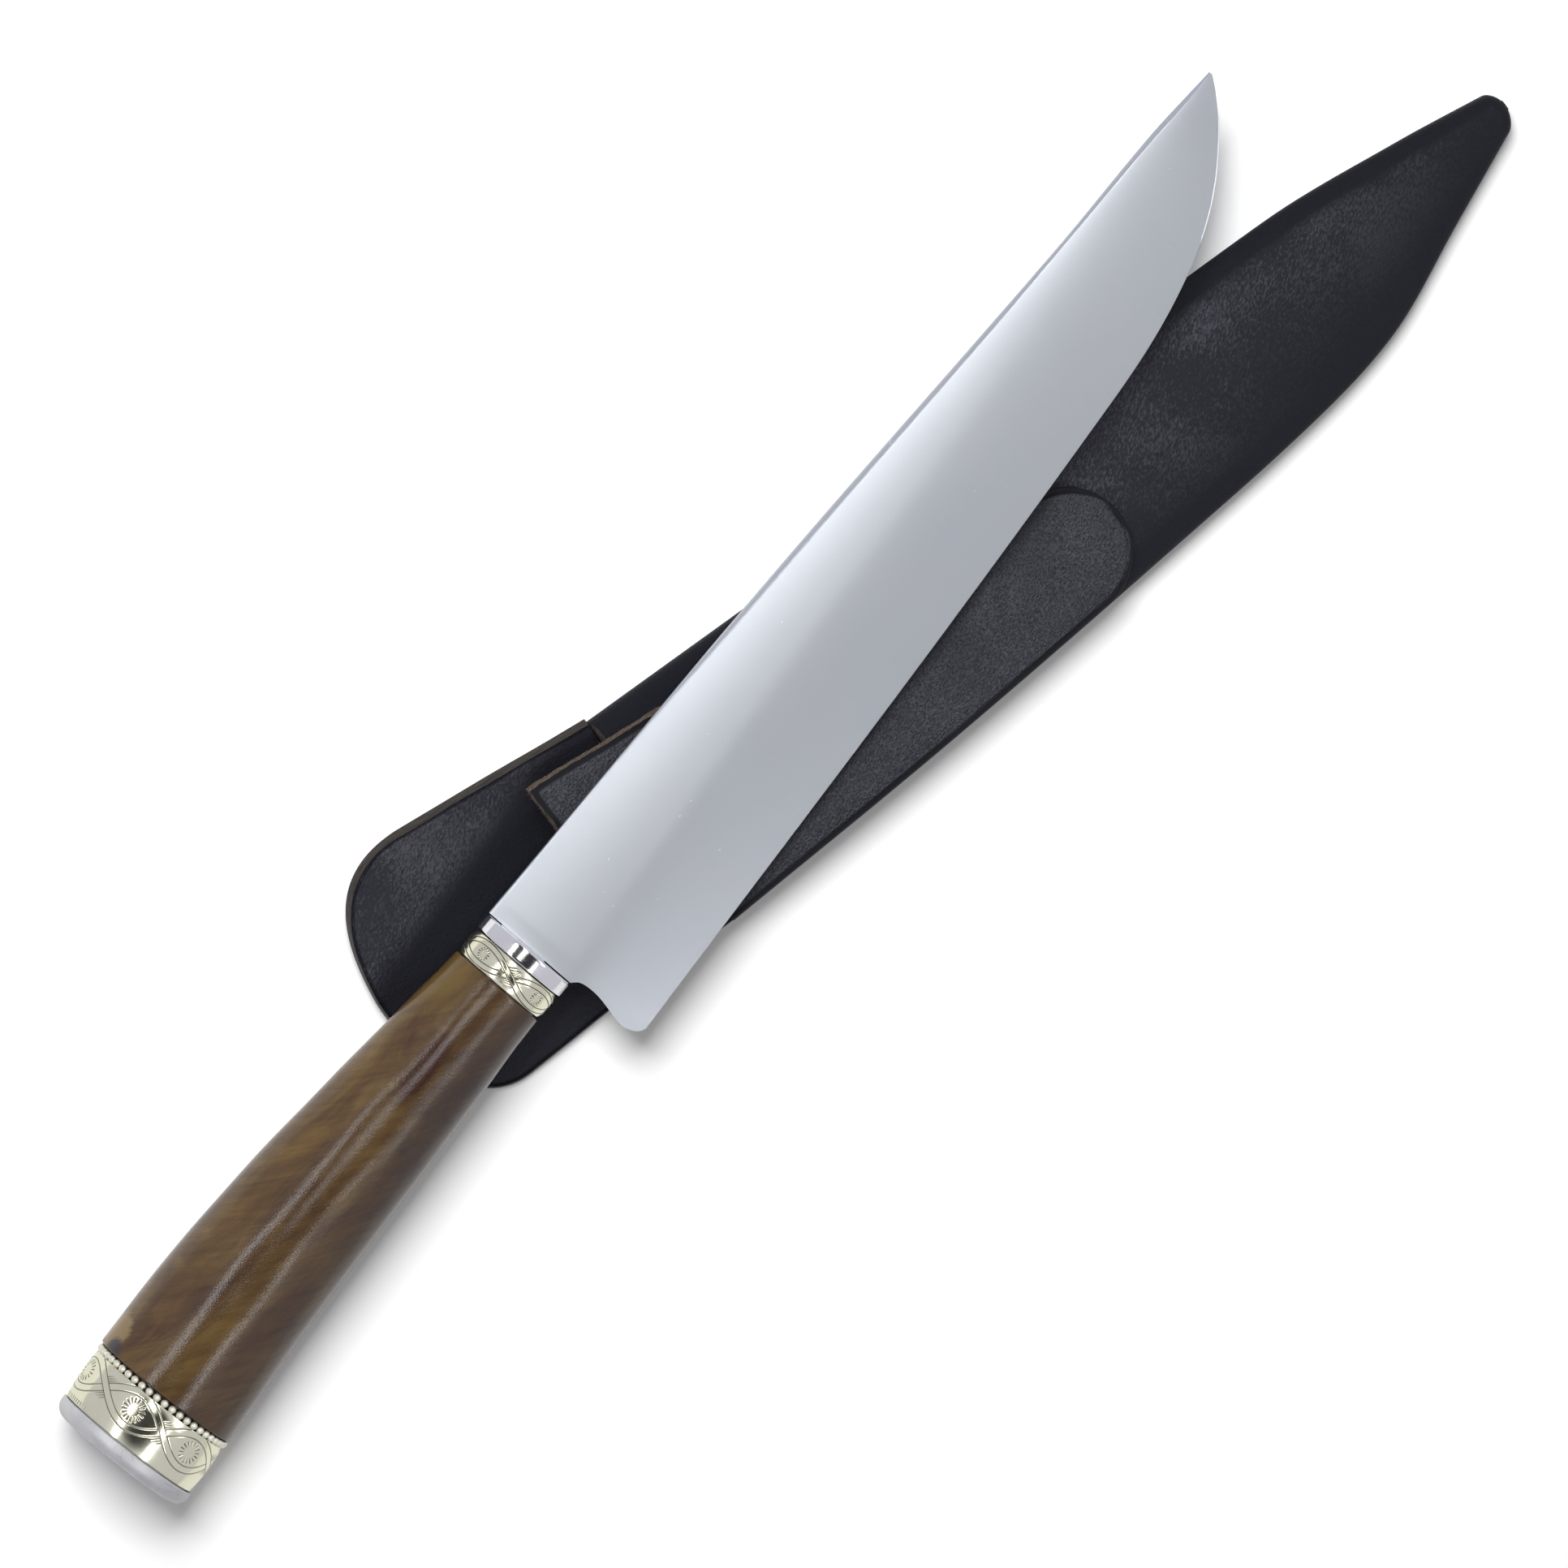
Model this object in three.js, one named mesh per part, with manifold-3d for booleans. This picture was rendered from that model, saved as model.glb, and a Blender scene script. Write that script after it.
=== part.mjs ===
// A gaucho knife laid across its leather sheath.
// Millimetres, +Z up, the table at Z = 0. The sheath points along +X, with the blade's spine side on +Y.
// The knife has a frame of its own: +X from the bolster to the tip, +Y from the edge to the spine.

import * as THREE from 'three';
import { mergeVertices } from 'three/addons/utils/BufferGeometryUtils.js';
import Module from 'manifold-3d';

const wasm = await Module();
wasm.setup();

// Room between pieces that seat on each other
const FIT_GAP = 0.3;

// Blade
const BLADE_LENGTH = 252.5;
const BLADE_DEPTH = 44.8;
const SPINE_HEIGHT = 12.4;
const SPINE_DROP = 11.9;
const SPINE_THICKNESS = 3.6;
const SPINE_CHAMFER = 0.8;
const TIP_THICKNESS = 1.4;
const EDGE_THICKNESS = 0.4;
const CHOIL_DEPTH = 1.7;
const HEEL_BULGE = 0.6;
const HEEL_ROUND = 5.2;
const HEEL_BLEND = 12;
const GRIND_CURVE = 0.85;

// Hidden tang
const TANG_LENGTH = 92;
const TANG_ROOT = 4;
const TANG_WIDTH = 13;
const TANG_END_WIDTH = 7;
const TANG_THICKNESS = 2.2;
const TANG_OFFSET = 2;
const BEDDING_WALL = 1.2;

// Handle, front to back
const BOLSTER_LENGTH = 3.8;
const BOLSTER_STEP = 0.3;
const BOLSTER_EDGE = 0.5;
const FRONT_FERRULE_LENGTH = 7.2;
const GRIP_LENGTH = 119.6;
const GRIP_FRONT_WIDTH = 24.4;
const GRIP_FRONT_THICKNESS = 18.4;
const GRIP_REAR_WIDTH = 37.3;
const GRIP_REAR_THICKNESS = 28.2;
const BEAD_DIAMETER = 1.4;
const BEAD_NECK = 1;
const REAR_FERRULE_LENGTH = 12.4;
const REAR_FERRULE_WIDTH = 36.8;
const REAR_FERRULE_THICKNESS = 28;
const CAP_LENGTH = 4.2;
const CAP_CORNER = 3;
const FERRULE_WALL = 1.2;
const CAP_SPIGOT = 3.5;
const AXIS_RISE = 4.2;
const FRONT_LEAN = 0.055;
const REAR_LEAN = 0.012;

// Sheath leather
const LEATHER = 2.1;
const SIDE_ROOM = 4.3;
const TIP_ROOM = 1;
const BLADE_PLAY = 1.2;
const TIP_HEIGHT = 7.6;
const TIP_ROUND = 3;
const UNDERSIDE_FLAT = 0.35;
const SHEATH_SQUARENESS = 3.2;

// Back seam
const SEAM_START = 10;
const SEAM_TIP_MARGIN = 20;
const SEAM_WIDTH = 7;
const SEAM_DEPTH = 1;
const LACE_DIAMETER = 0.7;
const LACE_SWING = 4.6;
const LACE_PITCH = 8;

// Mouth panel
const PANEL_LENGTH = 77;
const PANEL_SPINE_SIDE = 34.2;
const PANEL_EDGE_SIDE = 29.8;
const PANEL_THICKNESS = 2.4;
const SHOULDER_OVERHANG = 1;
const RIM_HEIGHT = 4.2;
const RIM_LOW = 0.4;
const RIM_ROLL = 6;
const TAIL_LENGTH = 45;
const TAIL_WIDTH = 36;
const TAIL_RISE_LENGTH = 28;

// Belt tongue
const TONGUE_OVERHANG = 20.5;
const TONGUE_REACH = 126.3;
const TONGUE_ROOT_WIDTH = 52.5;
const TONGUE_END_WIDTH = 30.6;
const TONGUE_TAPER = 1.35;
const TONGUE_INSET = 2;
const TONGUE_THICKNESS = 2;

// How the knife lies on the sheath
const KNIFE_X = -41.5;
const KNIFE_Y = -4.6;
const KNIFE_YAW = THREE.MathUtils.degToRad(15.6);
const REST_POINT = 12;

// Facets
const OVAL_SIDES = 32;
const BLADE_STATIONS = 40;
const BLADE_ROWS = [0, 0.12, 0.27, 0.42, 0.53, 0.56, 0.6, 0.66, 0.72, 0.79, 0.85, 0.9, 0.94, 0.975, 1];
const SHEATH_STATIONS = 22;
const SEAM_STEPS = 12;
const TONGUE_STATIONS = 26;
const TONGUE_ROWS = 9;
const CAP_STEPS = 4;
const GRIP_STATIONS = 14;
const PANEL_STEPS = 44;
const MOUTH_STEPS = 12;
const BEAD_STEPS = 3;
const BEAD_SIDES = 5;

// Places along the handle, measured back from the bolster's front face
const FERRULE_START = BOLSTER_LENGTH + FIT_GAP;
const GRIP_START = BOLSTER_LENGTH + FRONT_FERRULE_LENGTH;
const GRIP_END = GRIP_START + GRIP_LENGTH;
const REAR_FERRULE_START = GRIP_END + BEAD_DIAMETER + 2 * FIT_GAP;
const REAR_FERRULE_END = REAR_FERRULE_START + REAR_FERRULE_LENGTH;
const CAP_START = REAR_FERRULE_END + FIT_GAP;
const HANDLE_LENGTH = CAP_START + CAP_LENGTH;
const TENON_INSET = FERRULE_WALL + FIT_GAP;

// Sheath sizes that follow the blade it holds
const SHEATH_LENGTH = BLADE_LENGTH + TIP_ROOM;
const SEAM_END = SHEATH_LENGTH - SEAM_TIP_MARGIN;
const MOUTH_WIDTH = BLADE_DEPTH + 2 * (LEATHER + SIDE_ROOM);
const CAVITY_HEIGHT = SPINE_THICKNESS + BLADE_PLAY;
const MOUTH_HEIGHT = 2 * LEATHER + PANEL_THICKNESS + 2 * FIT_GAP + CAVITY_HEIGHT;

const { clamp, lerp, smoothstep } = THREE.MathUtils;

// A smooth function through hand-picked stops, each [place, value].
function through(stops) {
  const slope = (i) => {
    const a = stops[Math.max(i - 1, 0)];
    const b = stops[Math.min(i + 1, stops.length - 1)];
    return (b[1] - a[1]) / (b[0] - a[0]);
  };
  return (place) => {
    const x = clamp(place, stops[0][0], stops[stops.length - 1][0]);
    let i = 0;
    while (i < stops.length - 2 && x > stops[i + 1][0]) i += 1;
    const span = stops[i + 1][0] - stops[i][0];
    const u = (x - stops[i][0]) / span;
    const rise = stops[i + 1][1] - stops[i][1];
    const bendIn = slope(i) * span - rise;
    const bendOut = rise - slope(i + 1) * span;
    return stops[i][1] + rise * u + u * (1 - u) * ((1 - u) * bendIn + u * bendOut);
  };
}

// A closed geometry from points and faces, turned so that its faces point out.
function closedSkin(points, faces) {
  let volume = 0;
  const normal = new THREE.Vector3();
  for (const [a, b, c] of faces) {
    volume += points[a].dot(normal.crossVectors(points[b], points[c]));
  }
  const index = faces.flatMap(([a, b, c]) => (volume < 0 ? [a, c, b] : [a, b, c]));
  const geometry = new THREE.BufferGeometry().setFromPoints(points);
  geometry.setIndex(index);
  return geometry;
}

// The faces between rings of equal length, each joined to the next.
function ringFaces(count, size, wraps) {
  const faces = [];
  const last = wraps ? count : count - 1;
  for (let r = 0; r < last; r += 1) {
    const here = r * size;
    const next = ((r + 1) % count) * size;
    for (let i = 0; i < size; i += 1) {
      const j = (i + 1) % size;
      faces.push([here + i, here + j, next + j], [here + i, next + j, next + i]);
    }
  }
  return faces;
}

// A cap across one ring, laid as rungs between its two halves.
function ladderFaces(start, size, flip) {
  const faces = [];
  for (let i = 0; i + 1 < size / 2; i += 1) {
    const a = start + i;
    const b = start + i + 1;
    const c = start + size - 2 - i;
    const d = start + size - 1 - i;
    const rungs = flip ? [[a, c, b], [a, d, c]] : [[a, b, c], [a, c, d]];
    faces.push(...rungs.filter(([p, q, r]) => p !== q && q !== r && p !== r));
  }
  return faces;
}

// A solid lofted through rings, capped at both ends.
function loft(rings) {
  const size = rings[0].length;
  const end = (rings.length - 1) * size;
  const faces = [
    ...ringFaces(rings.length, size, false),
    ...ladderFaces(0, size, true),
    ...ladderFaces(end, size, false),
  ];
  return closedSkin(rings.flat(), faces);
}

// A solid whose rings close on themselves, such as a sleeve.
function hoop(rings) {
  return closedSkin(rings.flat(), ringFaces(rings.length, rings[0].length, true));
}

// Joining and cutting
function toSolid(geometry) {
  const bare = geometry.clone();
  bare.deleteAttribute('normal');
  bare.deleteAttribute('uv');
  const merged = mergeVertices(bare, 1e-4);
  const mesh = new wasm.Mesh({
    numProp: 3,
    vertProperties: new Float32Array(merged.attributes.position.array),
    triVerts: new Uint32Array(merged.index.array),
  });
  return new wasm.Manifold(mesh);
}

function fromSolid(solid) {
  const mesh = solid.getMesh();
  const geometry = new THREE.BufferGeometry();
  geometry.setAttribute('position', new THREE.BufferAttribute(mesh.vertProperties, 3));
  geometry.setIndex(new THREE.BufferAttribute(mesh.triVerts, 1));
  return geometry;
}

function cut(geometry, ...tools) {
  return fromSolid(tools.reduce((solid, tool) => solid.subtract(toSolid(tool)), toSolid(geometry)));
}

function join(geometry, ...others) {
  return fromSolid(others.reduce((solid, other) => solid.add(toSolid(other)), toSolid(geometry)));
}

// Blade outline: how far the spine has dropped, and what is left of the depth, along the blade
const spineDrop = through([[0, 0], [0.4, 0.31], [0.79, 0.77], [0.92, 0.855], [1, 1]]);
const depthLeft = through([
  [0, 1], [0.4, 0.882], [0.71, 0.73], [0.79, 0.67], [0.87, 0.56], [0.92, 0.43], [0.965, 0.24], [1, 0.012],
]);

// Handle axis: how far it rises towards the spine side, front to back
const axisRise = through([[0, 0], [0.34, 0.62], [0.67, 1], [1, 0.64]]);

function handleCentre(s) {
  return AXIS_RISE * axisRise(s / HANDLE_LENGTH);
}

function handleLean(s) {
  return lerp(FRONT_LEAN, REAR_LEAN, s / HANDLE_LENGTH);
}

// Half width and half thickness of the handle at a distance from the bolster's face
function handleHalves(s) {
  if (s > GRIP_END) {
    return [REAR_FERRULE_WIDTH / 2, REAR_FERRULE_THICKNESS / 2];
  }
  const share = clamp((s - GRIP_START) / GRIP_LENGTH, 0, 1);
  const swell = 0.7 * Math.sin(share * Math.PI / 2) + 0.3 * share;
  return [
    lerp(GRIP_FRONT_WIDTH, GRIP_REAR_WIDTH, swell) / 2,
    lerp(GRIP_FRONT_THICKNESS, GRIP_REAR_THICKNESS, swell) / 2,
  ];
}

// A point on the handle's oval, square to its axis
function ovalPoint(s, turn, grow) {
  const [halfWidth, halfThickness] = handleHalves(s);
  const lean = handleLean(s);
  const across = (halfWidth + grow) * Math.cos(turn) / Math.hypot(1, lean);
  const up = (halfThickness + grow) * Math.sin(turn);
  return new THREE.Vector3(-s + across * lean, handleCentre(s) + across, up);
}

function ovalRing(s, grow = 0, sides = OVAL_SIDES) {
  const ring = [];
  for (let i = 0; i < sides; i += 1) {
    ring.push(ovalPoint(s, (i + 0.5) * 2 * Math.PI / sides, grow));
  }
  return ring;
}

// A four-cornered ring across the tang's line
function tangRing(x, width, thickness) {
  const corners = [[1, 1], [1, -1], [-1, -1], [-1, 1]];
  return corners.map(([y, z]) => new THREE.Vector3(x, TANG_OFFSET + y * width / 2, z * thickness / 2));
}

// A stretch of the tang's tapering bar, grown all round to make a bore or a filling for it
function tangBlock(front, back, grow) {
  const ring = (x) => {
    const width = lerp(TANG_WIDTH, TANG_END_WIDTH, (TANG_ROOT - x) / (TANG_ROOT + TANG_LENGTH));
    return tangRing(x, width + 2 * grow, TANG_THICKNESS + 2 * grow);
  };
  return loft([ring(front), ring(back)]);
}

// How far the heel's contour stands forward of the bolster's face, down the blade from spine to edge
function heelShift(y) {
  const bottom = SPINE_HEIGHT - BLADE_DEPTH;
  const bolsterFoot = -GRIP_FRONT_WIDTH / 2 - BOLSTER_STEP;
  const face = FIT_GAP + Math.max(y, bolsterFoot) * handleLean(0);
  if (y > bolsterFoot) {
    return face;
  }
  const below = (bolsterFoot - y) / (bolsterFoot - bottom - HEEL_ROUND);
  if (below < 1) {
    const choil = CHOIL_DEPTH * Math.sin(Math.PI * Math.sqrt(below));
    return face + choil - HEEL_BULGE * smoothstep(below, 0.4, 1);
  }
  const corner = clamp((bottom + HEEL_ROUND - y) / HEEL_ROUND, 0, 1);
  return face - HEEL_BULGE + 0.6 * HEEL_ROUND * (1 - Math.sqrt(1 - corner * corner));
}

// One cross-section of the blade: down one side from spine to edge, and back up the other
function bladeRing(share) {
  const x = share * BLADE_LENGTH;
  const depth = BLADE_DEPTH * depthLeft(share);
  const spine = SPINE_HEIGHT - SPINE_DROP * spineDrop(share);
  const half = lerp(SPINE_THICKNESS, TIP_THICKNESS, share) / 2;
  const thin = Math.min(EDGE_THICKNESS, half) / 2;
  const chamfer = Math.min(SPINE_CHAMFER, half / 2, depth / 3);
  const side = [[0, half - chamfer]];
  for (const w of BLADE_ROWS) {
    side.push([lerp(chamfer, depth, w), thin + (half - thin) * (1 - w) ** GRIND_CURVE]);
  }
  const place = ([down, z]) => {
    const y = spine - down;
    const forward = heelShift(y) * (1 - smoothstep(x, 0, HEEL_BLEND));
    return new THREE.Vector3(x + forward, y, z);
  };
  return [...side, ...side.toReversed().map(([down, z]) => [down, -z])].map(place);
}

function blade() {
  const rings = [];
  for (let i = 0; i <= BLADE_STATIONS; i += 1) {
    rings.push(bladeRing((1 - Math.cos(Math.PI * i / BLADE_STATIONS)) / 2));
  }
  return join(loft(rings), tangBlock(TANG_ROOT, -TANG_LENGTH, 0));
}

function frontBolster() {
  const body = loft([
    ovalRing(0, BOLSTER_STEP - BOLSTER_EDGE),
    ovalRing(BOLSTER_EDGE, BOLSTER_STEP),
    ovalRing(BOLSTER_LENGTH, BOLSTER_STEP),
  ]);
  return cut(body, tangBlock(TANG_ROOT, -TANG_LENGTH, FIT_GAP));
}

// A thin oval sleeve between two places along the handle
function sleeve(front, back, wall) {
  return hoop([ovalRing(front), ovalRing(back), ovalRing(back, -wall), ovalRing(front, -wall)]);
}

function frontFerrule() {
  return sleeve(FERRULE_START, GRIP_START - FIT_GAP, FERRULE_WALL);
}

function grip() {
  const rings = [ovalRing(FERRULE_START, -TENON_INSET), ovalRing(GRIP_START, -TENON_INSET)];
  for (let i = 0; i <= GRIP_STATIONS; i += 1) {
    rings.push(ovalRing(GRIP_START + GRIP_LENGTH * i / GRIP_STATIONS));
  }
  const tenonEnd = CAP_START - CAP_SPIGOT - FIT_GAP;
  rings.push(ovalRing(GRIP_END, -TENON_INSET - BEAD_DIAMETER / 2), ovalRing(tenonEnd, -TENON_INSET));
  const bore = tangBlock(TANG_ROOT, -TANG_LENGTH - BEDDING_WALL, BEDDING_WALL + FIT_GAP);
  return cut(loft(rings), bore);
}

function tangBedding() {
  const body = tangBlock(-FERRULE_START, FIT_GAP - TANG_LENGTH - BEDDING_WALL, BEDDING_WALL);
  return cut(body, tangBlock(TANG_ROOT, -TANG_LENGTH - FIT_GAP, FIT_GAP));
}

// A row of beads strung round the butt, drawn as one wire that swells and narrows
function rearBeadRing() {
  const middle = GRIP_END + FIT_GAP + BEAD_DIAMETER / 2;
  const around = Math.PI * (REAR_FERRULE_WIDTH + REAR_FERRULE_THICKNESS) / 2;
  const steps = Math.round(around / BEAD_DIAMETER) * BEAD_STEPS;
  const rings = [];
  for (let i = 0; i < steps; i += 1) {
    const radius = (i % BEAD_STEPS === 0 ? BEAD_NECK : BEAD_DIAMETER) / 2;
    const ring = [];
    for (let k = 0; k < BEAD_SIDES; k += 1) {
      const turn = 2 * Math.PI * k / BEAD_SIDES;
      const grow = radius * Math.cos(turn) - BEAD_DIAMETER / 2;
      ring.push(ovalPoint(middle + radius * Math.sin(turn), 2 * Math.PI * i / steps, grow));
    }
    rings.push(ring);
  }
  return hoop(rings);
}

function rearFerrule() {
  return sleeve(REAR_FERRULE_START, REAR_FERRULE_END, FERRULE_WALL);
}

function pommelCap() {
  const rings = [ovalRing(CAP_START - CAP_SPIGOT, -TENON_INSET), ovalRing(CAP_START, -TENON_INSET)];
  rings.push(ovalRing(CAP_START));
  for (let i = 0; i <= CAP_STEPS; i += 1) {
    const turn = Math.PI / 2 * i / CAP_STEPS;
    const s = CAP_START + CAP_LENGTH - CAP_CORNER * (1 - Math.sin(turn));
    rings.push(ovalRing(s, CAP_CORNER * (Math.cos(turn) - 1)));
  }
  return loft(rings);
}

// Sheath outline as shares of the mouth's width, along the sheath
const spineSideShare = through([[0, 0.488], [0.3, 0.47], [0.76, 0.472], [0.9, 0.41], [1, 0.345]]);
const edgeSideShare = through([
  [0, -0.512], [0.25, -0.445], [0.5, -0.366], [0.7, -0.285], [0.8, -0.195], [0.9, 0], [1, 0.195],
]);

// The sheath's cross-section at a distance from the mouth: centre, half width and half height
function sheathSection(x, inset) {
  const share = clamp(x / SHEATH_LENGTH, 0, 1);
  const spineSide = MOUTH_WIDTH * spineSideShare(share);
  const edgeSide = MOUTH_WIDTH * edgeSideShare(share);
  const height = lerp(MOUTH_HEIGHT, TIP_HEIGHT, smoothstep(share, 0.1, 0.95)) + UNDERSIDE_FLAT;
  const fromEnd = clamp((x - SHEATH_LENGTH + TIP_ROUND) / TIP_ROUND, 0, 0.95);
  const round = inset > 0 ? 1 : Math.sqrt(1 - fromEnd * fromEnd);
  return {
    centre: (spineSide + edgeSide) / 2,
    halfWidth: round * (spineSide - edgeSide) / 2 - inset,
    middle: height / 2 - UNDERSIDE_FLAT,
    halfHeight: (0.4 + 0.6 * round) * height / 2 - inset,
  };
}

function sheathEdge(x) {
  const section = sheathSection(Math.max(x, 0), 0);
  return section.centre - section.halfWidth;
}

// Height of the leather above or below the section's middle, at a distance across it
function sheathSwell(section, y) {
  const across = Math.min(Math.abs(y - section.centre) / section.halfWidth, 1);
  return section.halfHeight * (1 - across ** SHEATH_SQUARENESS) ** (1 / SHEATH_SQUARENESS);
}

function sheathTop(x, y) {
  const section = sheathSection(Math.max(x, 0), 0);
  return section.middle + sheathSwell(section, y);
}

function sheathRing(x, inset) {
  const section = sheathSection(x, inset);
  const ring = [];
  const rounded = (value) => Math.sign(value) * Math.abs(value) ** (2 / SHEATH_SQUARENESS);
  for (let i = 0; i < OVAL_SIDES; i += 1) {
    const turn = (i + 0.5) * 2 * Math.PI / OVAL_SIDES;
    const y = section.centre + section.halfWidth * rounded(Math.cos(turn));
    const z = section.middle + section.halfHeight * rounded(Math.sin(turn));
    ring.push(new THREE.Vector3(x, y, Math.max(z, 0)));
  }
  return ring;
}

function seamLine(x) {
  return sheathSection(x, 0).centre;
}

// The shallow channel in the shell's back that the lace lies in
function seamChannel() {
  const upper = [];
  const lower = [];
  for (let i = 0; i <= SEAM_STEPS; i += 1) {
    const x = lerp(SEAM_START, SEAM_END, i / SEAM_STEPS);
    upper.push(new THREE.Vector2(x, seamLine(x) + SEAM_WIDTH / 2));
    lower.push(new THREE.Vector2(x, seamLine(x) - SEAM_WIDTH / 2));
  }
  const outline = new THREE.Shape([...lower, ...upper.toReversed()]);
  const channel = new THREE.ExtrudeGeometry(outline, { depth: 2 * SEAM_DEPTH, bevelEnabled: false });
  return channel.translate(0, 0, -SEAM_DEPTH);
}

function sheathShell() {
  const innerEnd = SHEATH_LENGTH - 2 * LEATHER;
  const rings = [];
  for (let i = SHEATH_STATIONS; i >= 0; i -= 1) {
    rings.push(sheathRing(innerEnd * Math.sin(Math.PI / 2 * i / SHEATH_STATIONS), LEATHER));
  }
  for (let i = 0; i <= SHEATH_STATIONS; i += 1) {
    rings.push(sheathRing(SHEATH_LENGTH * Math.sin(Math.PI / 2 * i / SHEATH_STATIONS), 0));
  }
  return cut(loft(rings), seamChannel());
}

function seamLace() {
  const start = SEAM_START + SEAM_WIDTH / 2;
  const crossings = Math.floor((SEAM_END - start - SEAM_WIDTH / 2) / (LACE_PITCH / 2));
  const route = [];
  for (let i = 0; i <= crossings; i += 1) {
    const x = start + i * LACE_PITCH / 2;
    const swing = (i % 2 === 0 ? 1 : -1) * LACE_SWING / 2;
    route.push(new THREE.Vector3(x, seamLine(x) + swing, SEAM_DEPTH - FIT_GAP - LACE_DIAMETER / 2));
  }
  const path = new THREE.CatmullRomCurve3(route, false, 'centripetal');
  const section = new THREE.Shape();
  section.absarc(0, 0, LACE_DIAMETER / 2, 0, 2 * Math.PI);
  const settings = { extrudePath: path, steps: 2 * crossings, bevelEnabled: false, curveSegments: 5 };
  return new THREE.ExtrudeGeometry(section, settings);
}

// The panel's free outline, from the shoulder on the spine side round to the one on the edge side
function panelOutline() {
  const shoulder = sheathSection(0, 0);
  const spineShoulder = shoulder.centre + shoulder.halfWidth + SHOULDER_OVERHANG;
  const edgeShoulder = shoulder.centre - shoulder.halfWidth + SHOULDER_OVERHANG;
  const outline = new THREE.Path();
  outline.moveTo(-FIT_GAP, spineShoulder);
  outline.lineTo(-0.65 * PANEL_LENGTH, PANEL_SPINE_SIDE);
  outline.bezierCurveTo(
    -0.88 * PANEL_LENGTH, PANEL_SPINE_SIDE + 1,
    -0.97 * PANEL_LENGTH, 0.7 * PANEL_SPINE_SIDE,
    -PANEL_LENGTH, 0.12 * PANEL_SPINE_SIDE,
  );
  outline.bezierCurveTo(
    -1.01 * PANEL_LENGTH, -0.47 * PANEL_EDGE_SIDE,
    -0.94 * PANEL_LENGTH, -1.02 * PANEL_EDGE_SIDE,
    -0.75 * PANEL_LENGTH, -PANEL_EDGE_SIDE,
  );
  outline.lineTo(-FIT_GAP, edgeShoulder);
  return outline.getSpacedPoints(PANEL_STEPS);
}

// Where the tail lies inside the mouth: on the shell's lower wall
function tailFloor() {
  const inside = sheathSection(0, LEATHER);
  return inside.middle - sheathSwell(inside, inside.centre + TAIL_WIDTH / 2) + FIT_GAP;
}

// How the leather rolls up at a point of the panel: its lift, its tilt and the way in from the rim
function rimRoll(outline, point) {
  const gaps = outline.map((rim) => rim.distanceTo(point));
  const near = gaps.indexOf(Math.min(...gaps));
  const before = outline[Math.max(near - 1, 0)];
  const after = outline[Math.min(near + 1, outline.length - 1)];
  const inward = new THREE.Vector2(before.y - after.y, after.x - before.x).normalize();
  const height = lerp(RIM_LOW, RIM_HEIGHT, smoothstep(-inward.y, -0.7, 0.9));
  const share = clamp(1 - gaps[near] / RIM_ROLL, 0, 1);
  return { inward, lift: height * share * share, tilt: Math.atan(2 * height * share / RIM_ROLL) };
}

// The panel lies on the table and rises to the mouth, and its rim rolls up along the spine side.
function mouthPanel() {
  const outline = panelOutline();
  const heart = new THREE.Vector2(-0.5 * PANEL_LENGTH, 0);
  const mouthSide = [];
  for (let i = 1; i < MOUTH_STEPS; i += 1) {
    mouthSide.push(outline.at(-1).clone().lerp(outline[0], i / MOUTH_STEPS));
  }
  const closed = [...mouthSide.slice(MOUTH_STEPS / 2), ...outline, ...mouthSide.slice(0, MOUTH_STEPS / 2)];
  const lowerRings = [];
  const upperRings = [];
  for (const inset of [0, 0.2 * RIM_ROLL, 0.45 * RIM_ROLL, 0.7 * RIM_ROLL, RIM_ROLL, 2 * RIM_ROLL]) {
    const lower = [];
    const upper = [];
    for (const rim of closed) {
      const toHeart = heart.clone().sub(rim).setLength(inset);
      const plan = rim.clone().add(toHeart);
      const roll = rimRoll(outline, plan);
      const rise = tailFloor() * smoothstep(plan.x, -TAIL_RISE_LENGTH, -TAIL_RISE_LENGTH / 4);
      const lean = roll.inward.multiplyScalar(PANEL_THICKNESS * Math.sin(roll.tilt));
      const z = rise + roll.lift;
      lower.push(new THREE.Vector3(plan.x, plan.y, z));
      upper.push(new THREE.Vector3(plan.x + lean.x, plan.y + lean.y, z + PANEL_THICKNESS * Math.cos(roll.tilt)));
    }
    lowerRings.push(lower);
    upperRings.push(upper);
  }
  const plate = loft([...lowerRings.toReversed(), ...upperRings]);
  const sunk = TAIL_RISE_LENGTH / 4;
  const tail = new THREE.BoxGeometry(TAIL_LENGTH + sunk, TAIL_WIDTH, PANEL_THICKNESS);
  tail.translate((TAIL_LENGTH - sunk) / 2, seamLine(0), tailFloor() + PANEL_THICKNESS / 2);
  return join(plate, tail);
}

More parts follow.
